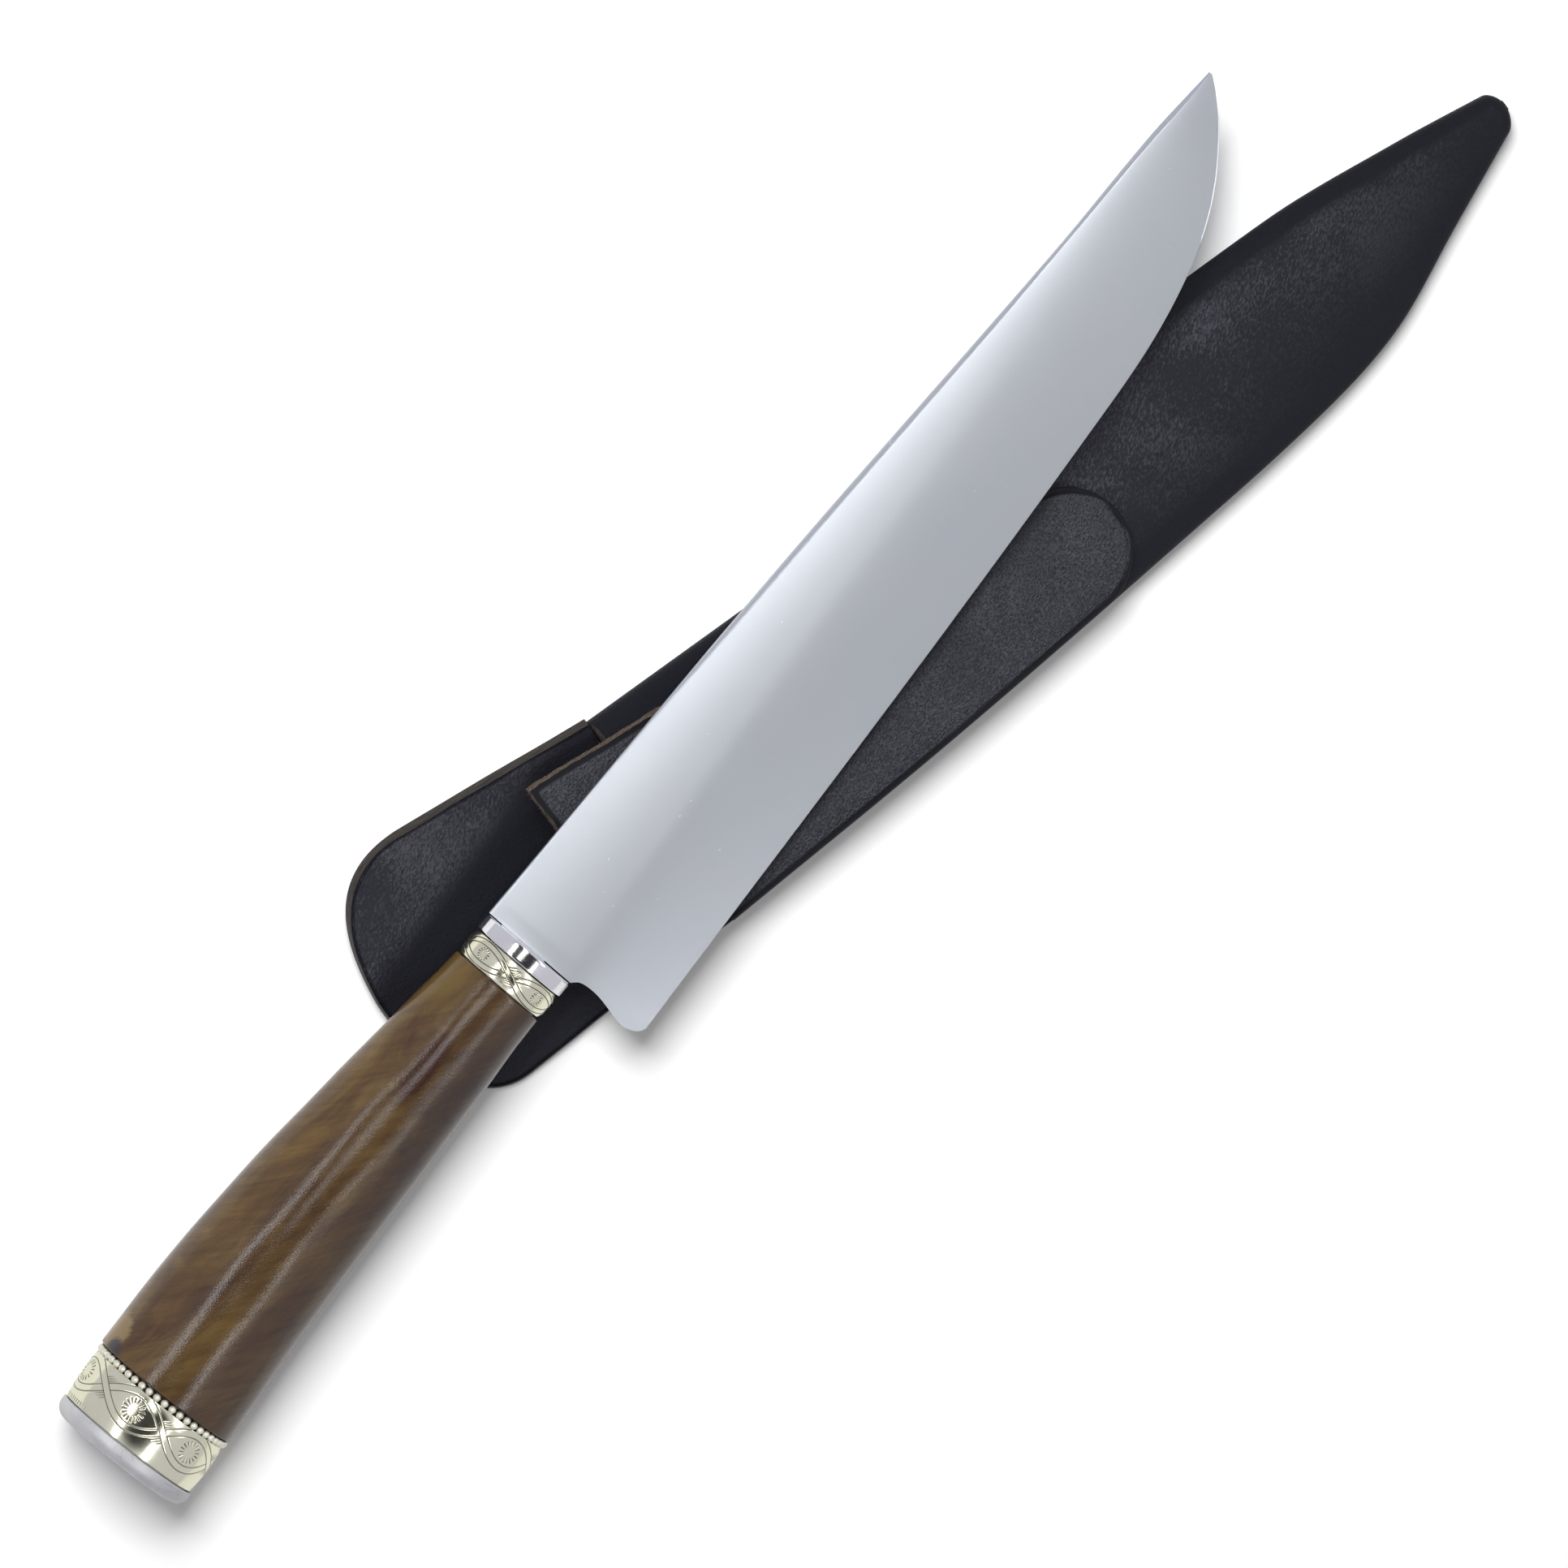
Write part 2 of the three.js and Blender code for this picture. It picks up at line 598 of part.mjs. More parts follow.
// The tongue lies on the shell and follows its crown; its root stands out past the mouth.
function beltTongue() {
  const roundStart = TONGUE_REACH - TONGUE_END_WIDTH / 2;
  const rings = [];
  for (let i = 0; i <= TONGUE_STATIONS; i += 1) {
    const x = lerp(-TONGUE_OVERHANG, TONGUE_REACH, Math.sin(Math.PI / 2 * i / TONGUE_STATIONS));
    const along = clamp((x + TONGUE_OVERHANG) / (roundStart + TONGUE_OVERHANG), 0, 1);
    const width = lerp(TONGUE_ROOT_WIDTH, TONGUE_END_WIDTH, along ** TONGUE_TAPER);
    const past = clamp((x - roundStart) / (TONGUE_REACH - roundStart), 0, 0.995);
    const half = width / 2 * Math.sqrt(1 - past * past);
    const middle = sheathEdge(Math.min(x, roundStart)) + TONGUE_INSET + width / 2;
    const upper = [];
    const lower = [];
    for (let k = 0; k <= TONGUE_ROWS; k += 1) {
      const y = middle + half * Math.cos(Math.PI * k / TONGUE_ROWS);
      const z = sheathTop(x, y) + FIT_GAP;
      upper.push(new THREE.Vector3(x, y, z + TONGUE_THICKNESS));
      lower.push(new THREE.Vector3(x, y, z));
    }
    rings.push([...upper, ...lower.toReversed()]);
  }
  return loft(rings);
}

// Finishes
function finish(color, roughness, metalness) {
  return new THREE.MeshStandardMaterial({ color, roughness, metalness });
}

const stainlessSteel = () => finish(0xb4b9be, 0.22, 1);
const nickelSilver = () => finish(0xc9c8b8, 0.25, 1);
const polishedWood = () => finish(0x5f4729, 0.35, 0);
const resin = () => finish(0x2c2620, 0.5, 0);
const smoothLeather = () => finish(0x25262b, 0.5, 0);
const pebbledLeather = () => finish(0x3d3e43, 0.65, 0);
const waxedLace = () => finish(0x1c1b1b, 0.6, 0);

function piece(name, geometry, material) {
  const mesh = new THREE.Mesh(geometry, material);
  mesh.name = name;
  return mesh;
}

const sheath = new THREE.Group();
sheath.add(
  piece('sheath_shell', sheathShell(), smoothLeather()),
  piece('mouth_panel', mouthPanel(), smoothLeather()),
  piece('belt_tongue', beltTongue(), pebbledLeather()),
  piece('seam_lace', seamLace(), waxedLace()),
);

const knife = new THREE.Group();
knife.add(
  piece('blade', blade(), stainlessSteel()),
  piece('front_bolster', frontBolster(), nickelSilver()),
  piece('front_ferrule', frontFerrule(), nickelSilver()),
  piece('grip', grip(), polishedWood()),
  piece('tang_bedding', tangBedding(), resin()),
  piece('rear_bead_ring', rearBeadRing(), nickelSilver()),
  piece('rear_ferrule', rearFerrule(), nickelSilver()),
  piece('pommel_cap', pommelCap(), nickelSilver()),
);

// The knife lies with its butt on the table and the flat of its blade on the tongue's root.
const tongueTop = sheathTop(0, seamLine(0)) + FIT_GAP + TONGUE_THICKNESS;
const bladeRest = tongueTop + FIT_GAP + SPINE_THICKNESS / 2;
const buttRest = REAR_FERRULE_THICKNESS / 2;
const buttPoint = HANDLE_LENGTH - CAP_CORNER;
const pitch = Math.asin((bladeRest - buttRest) / (buttPoint + REST_POINT));
knife.rotation.set(0, -pitch, KNIFE_YAW, 'ZYX');
knife.position.set(KNIFE_X, KNIFE_Y, bladeRest - REST_POINT * Math.sin(pitch));

// The origin is on the table, under the middle of everything that lies there.
const gauchoKnife = new THREE.Group();
gauchoKnife.add(sheath, knife);
gauchoKnife.updateMatrixWorld(true);
const extent = new THREE.Box3().setFromObject(gauchoKnife, true);
const middle = extent.getCenter(new THREE.Vector3());
gauchoKnife.position.set(-middle.x, -middle.y, -extent.min.z);

export default gauchoKnife;
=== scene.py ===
# A gaucho knife laid across its leather sheath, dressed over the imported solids.
# Pieces are modelled in millimetres, each in the knife's or the sheath's own frame,
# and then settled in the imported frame.
# In the knife's frame +X runs from the bolster to the tip, and +Y from the edge to the spine.
# In the sheath's frame +X runs from the mouth to the tip, and Z = 0 is the table.

import math

import bmesh
import bpy
import numpy as np
from mathutils import Matrix, Vector


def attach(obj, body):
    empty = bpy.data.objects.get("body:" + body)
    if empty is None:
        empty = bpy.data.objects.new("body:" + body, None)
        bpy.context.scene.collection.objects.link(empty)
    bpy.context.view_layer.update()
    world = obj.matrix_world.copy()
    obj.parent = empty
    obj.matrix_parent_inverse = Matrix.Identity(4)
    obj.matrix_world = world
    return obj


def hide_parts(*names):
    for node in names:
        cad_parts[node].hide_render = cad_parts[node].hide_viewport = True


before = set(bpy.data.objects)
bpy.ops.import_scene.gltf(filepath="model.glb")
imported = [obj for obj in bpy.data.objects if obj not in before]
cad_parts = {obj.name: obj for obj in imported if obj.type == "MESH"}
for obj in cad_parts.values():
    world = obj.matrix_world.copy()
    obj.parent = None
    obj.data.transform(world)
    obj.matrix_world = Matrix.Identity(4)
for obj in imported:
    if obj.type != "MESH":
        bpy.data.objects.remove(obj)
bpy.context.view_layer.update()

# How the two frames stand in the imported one
MM = 0.001
SHEATH_ORIGIN = Vector((-31.632, -2.320, 0.0)) * MM
KNIFE_ORIGIN = Vector((-73.132, -6.920, 16.218)) * MM
KNIFE_YAW = math.radians(15.6)
KNIFE_PITCH = 0.01514
KNIFE_TURN = Matrix.Rotation(KNIFE_YAW, 3, "Z") @ Matrix.Rotation(-KNIFE_PITCH, 3, "Y")
FRAMES = {
    "knife": (KNIFE_TURN, KNIFE_ORIGIN),
    "sheath": (Matrix.Identity(3), SHEATH_ORIGIN),
}

# Blade
BLADE_LENGTH = 252.5
BLADE_DEPTH = 44.8
SPINE_HEIGHT = 12.4
SPINE_DROP = 11.9
SPINE_THICKNESS = 3.6
TIP_THICKNESS = 1.4
EDGE_THICKNESS = 0.4
CHOIL_DEPTH = 1.7
HEEL_BULGE = 0.6
HEEL_ROUND = 5.2
HEEL_BLEND = 12.0
HEEL_LOW = 0.015
HEEL_STRIP = (2.6, 4.6)
CROWN_EASE = 0.2
CROWN_FALL = 0.8
CROWN_CURVE = 2.4
KEEN_WIDTH = 0.03
KEEN_BELLY = 0.2
KEEN_GROWS = (215, 232)
KEEN_FADES = (244, 251)
SPINE_ROWS = 3
SPINE_FALL = 0.8
SPINE_CURVE = 1.5
POINT_TAPER = 0.05
LEAST_HALF = 0.04
TANG_LENGTH = 92.0
TANG_LAP = 4.0
TANG_FRONT = 13.0
TANG_BACK = 7.0
TANG_THICKNESS = 2.2
TANG_RISE = 2.0

# Handle, front to back, measured back from the bolster's front face
BOLSTER_LENGTH = 3.8
BOLSTER_ROUND = 0.5
BOLSTER_BACK_ROUND = 0.25
FERRULE_START = 4.1
GRIP_START = 11.0
GRIP_END = 130.6
REAR_FERRULE_START = 132.6
REAR_FERRULE_END = 145.0
CAP_START = 145.3
HANDLE_LENGTH = 149.5
GRIP_FRONT = (24.4, 18.4)
GRIP_REAR = (37.3, 28.2)
REAR_FERRULE = (36.8, 28.0)
AXIS_RISE = 4.2
FRONT_LEAN = 0.055
REAR_LEAN = 0.012
FERRULE_WALL = 1.2
TENON_INSET = 1.5
TENON_END = 141.5
HAND_WAVE = 0.12
HAND_WAVE_SIZE = 22
HAND_WAVE_FADE = 8
BEADS = 50
BEAD_RADIUS = 1.0
BEAD_INSET = 0.8
BEAD_RING_HALF = 0.85
BEAD_CORE = (1.4, 1.0)
BEAD_CORE_INSET = 1.2
FERRULE_BARREL = 0.5
BARREL_FLAT = 0.3
FERRULE_EASE = 0.12
FERRULE_RIM = 0.3
CAP_ROUND = 3.0
RIBBON_RISE = 0.07

# Engraver's cuts, each (width, depth), and then where they lie, drops in shares of their rosette's reach
RIBBON_CUT = (0.34, 0.14)
PETAL_CUT = (0.46, 0.16)
FEATHER_CUT = (0.3, 0.15)
NICK_CUT = (0.34, 0.14)
DROP_START = 0.36
DROP_LENGTH = 0.32
FEATHERS = 3
FEATHER_LENGTH = 2.5
FEATHER_SHORTER = 0.4
FEATHER_GAP = 0.45
FEATHER_PITCH = 0.55
NICK_PITCH = 0.9
NICK_ROW = (0.25, 1.3)
NICKS_WORN = (0.72, 0.8)
TARNISH_DEPTH = 0.1

# Sheath
SHEATH_LENGTH = 253.5
MOUTH_WIDTH = 57.6
MOUTH_HEIGHT = 12.0
TIP_HEIGHT = 7.6
TIP_ROUND = 3.0
UNDERSIDE_FLAT = 0.35
SQUARENESS = 3.2
LEATHER = 2.1
HIDE_WAVE = 0.16
HIDE_WAVE_SIZE = 34
SEAM_START = 10.0
SEAM_END = 233.5
SEAM_WIDTH = 7.0
SEAM_DEPTH = 1.0
LACE_DIAMETER = 0.7
LACE_SWING = 4.6
LACE_PITCH = 8.0
PANEL_LENGTH = 77.0
PANEL_SPINE_SIDE = 34.2
PANEL_EDGE_SIDE = 29.8
PANEL_THICKNESS = 2.4
PANEL_GAP = 0.02
RIM_HEIGHT = 4.2
RIM_LOW = 0.4
RIM_ROLL = 26.0
EDGE_WIDE = 1.4
EDGE_NARROW = 0.55
CREASE = 0.55
CREASE_DEPTH = 0.5
CREASE_HALF = 0.4
LIP = 0.15
LIP_HEIGHT = 0.16
LIP_HALF = 0.16
PANEL_WAVE = 0.18
PANEL_WAVE_SIZE = 40
PANEL_SOFT_EDGE = 0.35
TAIL_LENGTH = 45.0
TAIL_WIDTH = 36.0
TAIL_RISE_LENGTH = 28.0
TONGUE_OVERHANG = 20.5
TONGUE_REACH = 126.3
TONGUE_ROOT_WIDTH = 52.5
TONGUE_END_WIDTH = 30.6
TONGUE_INSET = 0.8
TONGUE_SHOULDER = 2.8
TONGUE_THICKNESS = 2.0
TONGUE_TAPER = 1.35
TONGUE_GROOVE = 0.35
GROOVE_INSET = 1.1
GROOVE_HALF = 0.55
TONGUE_ROUND = 0.5
SKIVE = 0.6
RAG = 0.16
RAG_SIZE = 1.5
FIBRES = 700
FIBRES_AT_ROOT = 0.3
FIBRE_RADIUS = 0.13
FIT_GAP = 0.3

# A sheet is thickened by this much at first, so that its new points can be told apart
FAR_DOWN = 1000
# Edges sharper than this stay crisp
SMOOTH_ANGLE = math.radians(38)


# Curves
def lerp(a, b, share):
    return a + (b - a) * share


def smooth(value, low, high):
    share = np.clip((value - low) / (high - low), 0, 1)
    return share * share * (3 - 2 * share)


def through(stops):
    """A smooth curve through listed stops, each (place, value)."""
    places, values = np.array(stops, dtype=float).T
    after = np.minimum(np.arange(len(places)) + 1, len(places) - 1)
    before = np.maximum(np.arange(len(places)) - 1, 0)
    slopes = (values[after] - values[before]) / (places[after] - places[before])

    def curve(place):
        x = np.clip(place, places[0], places[-1])
        i = np.clip(np.searchsorted(places, x, side="right") - 1, 0, len(places) - 2)
        span = places[i + 1] - places[i]
        u = (x - places[i]) / span
        rise = values[i + 1] - values[i]
        bend_in = slopes[i] * span - rise
        bend_out = rise - slopes[i + 1] * span
        return values[i] + rise * u + u * (1 - u) * ((1 - u) * bend_in + u * bend_out)

    return curve


def ripple(a, b, size, seed):
    """A soft unevenness between -1 and 1, with hollows about one size apart."""
    total = 0.0
    for k in range(5):
        turn = seed * 1.7 + k * 2.4
        wave = 2 * np.pi / size * (0.6 + 0.23 * k)
        total = total + np.sin(wave * (a * math.cos(turn) + b * math.sin(turn)) + seed * 3.1 + k * 1.9)
    return total / 5


# Making pieces
def named(name):
    piece = bpy.context.object
    piece.name = name
    piece.data.name = name
    return piece


def points(piece):
    flat = np.empty(3 * len(piece.data.vertices))
    piece.data.vertices.foreach_get("co", flat)
    return flat.reshape(-1, 3)


def put(piece, places):
    piece.data.vertices.foreach_set("co", np.ascontiguousarray(places, dtype=np.float32).ravel())
    piece.data.update()


def choose(piece):
    bpy.ops.object.select_all(action="DESELECT")
    piece.select_set(True)
    bpy.context.view_layer.objects.active = piece


def edit_all(piece):
    choose(piece)
    bpy.ops.object.mode_set(mode="EDIT")
    bpy.ops.mesh.select_all(action="SELECT")


def flat_grid(name, along, across):
    """A grid one unit square, centred at the origin."""
    bpy.ops.mesh.primitive_grid_add(x_subdivisions=along, y_subdivisions=across, size=1)
    return named(name)


def rolled(name, rings, around, place, finish=None):
    """A grid rolled into a tube of so many rings, each laid by place(ring, turn).
    finish(ring) gives the material slot of the faces that follow a ring."""
    piece = flat_grid(name, rings - 1, around)
    grid = points(piece)
    ring = np.rint((grid[:, 0] + 0.5) * (rings - 1)).astype(int)
    turn = (grid[:, 1] + 0.5) * 2 * np.pi
    if finish is not None:
        for face in piece.data.polygons:
            face.material_index = finish(int((face.center.x + 0.5) * (rings - 1)))
    put(piece, np.stack(place(ring, turn), axis=1))
    edit_all(piece)
    bpy.ops.mesh.remove_doubles(threshold=1e-4)
    bpy.ops.object.mode_set(mode="OBJECT")
    return piece


def face_outward(piece):
    edit_all(piece)
    bpy.ops.mesh.normals_make_consistent(inside=False)
    bpy.ops.object.mode_set(mode="OBJECT")


def close_ends(piece, bridge):
    """Join a tube's two open ends to each other, or fill each of them."""
    choose(piece)
    bpy.ops.object.mode_set(mode="EDIT")
    bpy.ops.mesh.select_mode(type="EDGE")
    bpy.ops.mesh.select_all(action="DESELECT")
    bpy.ops.mesh.select_non_manifold()
    if bridge:
        bpy.ops.mesh.bridge_edge_loops()
    else:
        bpy.ops.mesh.fill_holes(sides=0)
    bpy.ops.object.mode_set(mode="OBJECT")
    face_outward(piece)


def thicken(piece):
    """Extrude a sheet far down, and say which points are the new ones."""
    edit_all(piece)
    bpy.ops.mesh.extrude_region_move(TRANSFORM_OT_translate={"value": (0, 0, -FAR_DOWN)})
    bpy.ops.object.mode_set(mode="OBJECT")
    face_outward(piece)
    return points(piece)[:, 2] < -FAR_DOWN / 2


def join_copies(piece, model, places):
    """Copy a small model to each place, each copy with its own mesh, and join the copies to a piece."""
    copies = []
    for place in places:
        copy = model.copy()
        copy.data = model.data.copy()
        copy.matrix_world = place
        bpy.context.collection.objects.link(copy)
        copies.append(copy)
    bpy.data.objects.remove(model)
    choose(piece)
    for copy in copies:
        copy.select_set(True)
    bpy.ops.object.join()


def mark(piece, name, values):
    """Keep a value at each point of a piece, for its material to read."""
    layer = piece.data.attributes.new(name, "FLOAT", "POINT")
    layer.data.foreach_set("value", values.astype(np.float32))


def settle(piece, body, materials, node):
    """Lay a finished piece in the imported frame, in metres, and hand it over."""
    turn, origin = FRAMES[body]
    for material in materials:
        if material.name not in piece.data.materials:
            piece.data.materials.append(material)
    choose(piece)
    bpy.ops.object.shade_smooth_by_angle(angle=SMOOTH_ANGLE)
    piece.matrix_world = Matrix.LocRotScale(origin, turn, Vector((MM, MM, MM)))
    bpy.ops.object.transform_apply(location=True, rotation=True, scale=True)
    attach(piece, body)
    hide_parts(node)


# Making materials
def linear(hex_colour):
    """An sRGB hex colour as linear red, green, blue and one."""
    parts = [int(hex_colour[i:i + 2], 16) / 255 for i in (1, 3, 5)]
    return [p / 12.92 if p <= 0.04045 else ((p + 0.055) / 1.055) ** 2.4 for p in parts] + [1.0]


def fill(tree, node, inputs):
    """Link or set a node's inputs, each an output of another node, a hex colour or a plain value."""
    for name, value in inputs.items():
        if isinstance(value, bpy.types.NodeSocket):
            tree.links.new(value, node.inputs[name])
        else:
            node.inputs[name].default_value = linear(value) if isinstance(value, str) else value


def add(tree, kind, settings, inputs, output=None):
    """Add a shader node with its settings and inputs, and give back the output named, or its first one."""
    made = tree.nodes.new("ShaderNode" + kind)
    for name, value in settings.items():
        setattr(made, name, value)
    fill(tree, made, inputs)
    return made.outputs[output] if output else next(socket for socket in made.outputs if socket.enabled)


COLOUR_MIX = {"data_type": "RGBA"}
COLOUR_MULTIPLY = {"data_type": "RGBA", "blend_type": "MULTIPLY"}
SOFT_STEP = {"interpolation_type": "SMOOTHSTEP"}
BY_SIZE = {"vector_type": "TEXTURE"}


def new_material(name, body):
    """A material, its shader, and the place on the piece in millimetres of its body's own frame."""
    turn, origin = FRAMES[body]
    material = bpy.data.materials.new(name)
    material.use_nodes = True
    tree = material.node_tree
    shader = tree.nodes["Principled BSDF"]
    spot = add(tree, "TexCoord", {}, {}, "Object")
    place = add(tree, "Mapping", BY_SIZE, {
        "Vector": spot,
        "Location": origin,
        "Rotation": turn.to_euler(),
        "Scale": (MM, MM, MM),
    })
    return material, tree, shader, place


# Stainless steel, ground and polished to a soft shine: it blurs the lamps into broad bands
def stainless_steel():
    material, tree, shader, place = new_material("stainless_steel", "knife")
    cloud = add(tree, "TexNoise", {}, {"Vector": place, "Scale": 1 / 28, "Detail": 3.0})
    tone = add(tree, "Mix", COLOUR_MIX, {0: cloud, 6: "#CBD1D8", 7: "#D2D5DA"})
    # Polishing pits and nicks about 0.3 mm across, few and far between
    pits = add(tree, "TexNoise", {}, {"Vector": place, "Scale": 1 / 1.1, "Detail": 2.0})
    field = add(tree, "TexNoise", {}, {"Vector": place, "Scale": 1 / 17, "Detail": 2.0})
    some = add(tree, "Math", {"operation": "MULTIPLY_ADD"}, {0: field, 1: 0.35, 2: pits})
    nick = add(tree, "MapRange", {}, {"Value": some, "From Min": 0.965, "From Max": 1.0})
    colour = add(tree, "Mix", COLOUR_MIX, {0: nick, 6: tone, 7: "#F2F3F5"})
    rub = add(tree, "Mapping", {}, {"Vector": place, "Scale": (1 / 0.35, 1 / 9, 1 / 9)})
    lines = add(tree, "TexNoise", {}, {"Vector": rub, "Scale": 1.0, "Detail": 3.0})
    rough = add(tree, "MapRange", {}, {"Value": lines, "To Min": 0.29, "To Max": 0.345})
    bump = add(tree, "Bump", {}, {"Strength": 0.03, "Distance": 0.00002, "Height": lines})
    fill(tree, shader, {"Metallic": 1.0, "Base Color": colour, "Roughness": rough, "Normal": bump})
    return material


# Nickel silver, cast and polished by hand: pale and warm, with tarnish left in the engraver's cuts
def engraved_alpaca():
    material, tree, shader, place = new_material("engraved_nickel_silver", "knife")
    cut = add(tree, "Attribute", {"attribute_name": "cut"}, {}, "Fac")
    cloud = add(tree, "TexNoise", {}, {"Vector": place, "Scale": 1 / 3, "Detail": 4.0})
    tone = add(tree, "Mix", COLOUR_MIX, {0: cloud, 6: "#E4E2C6", 7: "#EDECD6"})
    dark = add(tree, "Mix", COLOUR_MIX, {0: cut, 6: tone, 7: "#3E3B31"})
    haze = add(tree, "MapRange", {}, {"Value": cloud, "To Min": 0.1, "To Max": 0.2})
    rough = add(tree, "Math", {"operation": "MULTIPLY_ADD"}, {0: cut, 1: 0.3, 2: haze})
    fill(tree, shader, {"Metallic": 1.0, "Base Color": dark, "Roughness": rough})
    return material


# The same metal buffed bright and left plain: almost white, and a mirror with a little haze
def bright_alpaca():
    material, tree, shader, place = new_material("bright_nickel_silver", "knife")
    cloud = add(tree, "TexNoise", {}, {"Vector": place, "Scale": 1 / 4, "Detail": 4.0})
    tone = add(tree, "Mix", COLOUR_MIX, {0: cloud, 6: "#E4E3E4", 7: "#EFEEF0"})
    rough = add(tree, "MapRange", {}, {"Value": cloud, "To Min": 0.06, "To Max": 0.16})
    fill(tree, shader, {"Metallic": 1.0, "Base Color": tone, "Roughness": rough})
    return material


# The same metal sanded to a satin: pale grey with a violet cast, with a few dark hairlines
def satin_alpaca():
    material, tree, shader, place = new_material("satin_nickel_silver", "knife")
    cloud = add(tree, "TexNoise", {}, {"Vector": place, "Scale": 1 / 5, "Detail": 4.0, "Distortion": 0.5})
    tone = add(tree, "ValToRGB", {}, {"Fac": cloud})
    for stop, position, shade in zip(tone.node.color_ramp.elements, (0.35, 0.65), ("#C2C2C5", "#CBCBCD")):
        stop.position = position
        stop.color = linear(shade)
    bent = add(tree, "TexNoise", {}, {"Vector": place, "Scale": 1 / 9, "Detail": 2.0, "Distortion": 0.8})
    near = add(tree, "Math", {"operation": "SUBTRACT"}, {0: bent, 1: 0.5})
    size = add(tree, "Math", {"operation": "ABSOLUTE"}, {0: near})
    line = add(tree, "MapRange", {}, {
        "Value": size, "From Min": 0.004, "From Max": 0.001, "To Max": 0.22,
    })
    lined = add(tree, "Mix", COLOUR_MIX, {0: line, 6: tone, 7: "#77778A"})
    fill(tree, shader, {"Metallic": 0.45, "Roughness": 0.42, "Base Color": lined})
    return material


# The same metal cast in pearls: cream, lighter on their crowns, with painted shade round their feet and on
# the core between them
def pearled_alpaca():
    material, tree, shader, place = new_material("pearled_nickel_silver", "knife")
    foot = add(tree, "Attribute", {"attribute_name": "foot"}, {}, "Fac")
    wear = add(tree, "TexNoise", {}, {"Vector": place, "Scale": 1 / 2, "Detail": 3.0})
    tone = add(tree, "Mix", COLOUR_MIX, {0: wear, 6: "#DEDBC6", 7: "#F3F1E4"})
    # Painted shade round the beads' feet and on the core
    shaded_feet = add(tree, "Mix", COLOUR_MIX, {0: foot, 6: tone, 7: "#2E2A22"})
    fill(tree, shader, {"Metallic": 0.8, "Roughness": 0.36, "Base Color": shaded_feet})
    return material


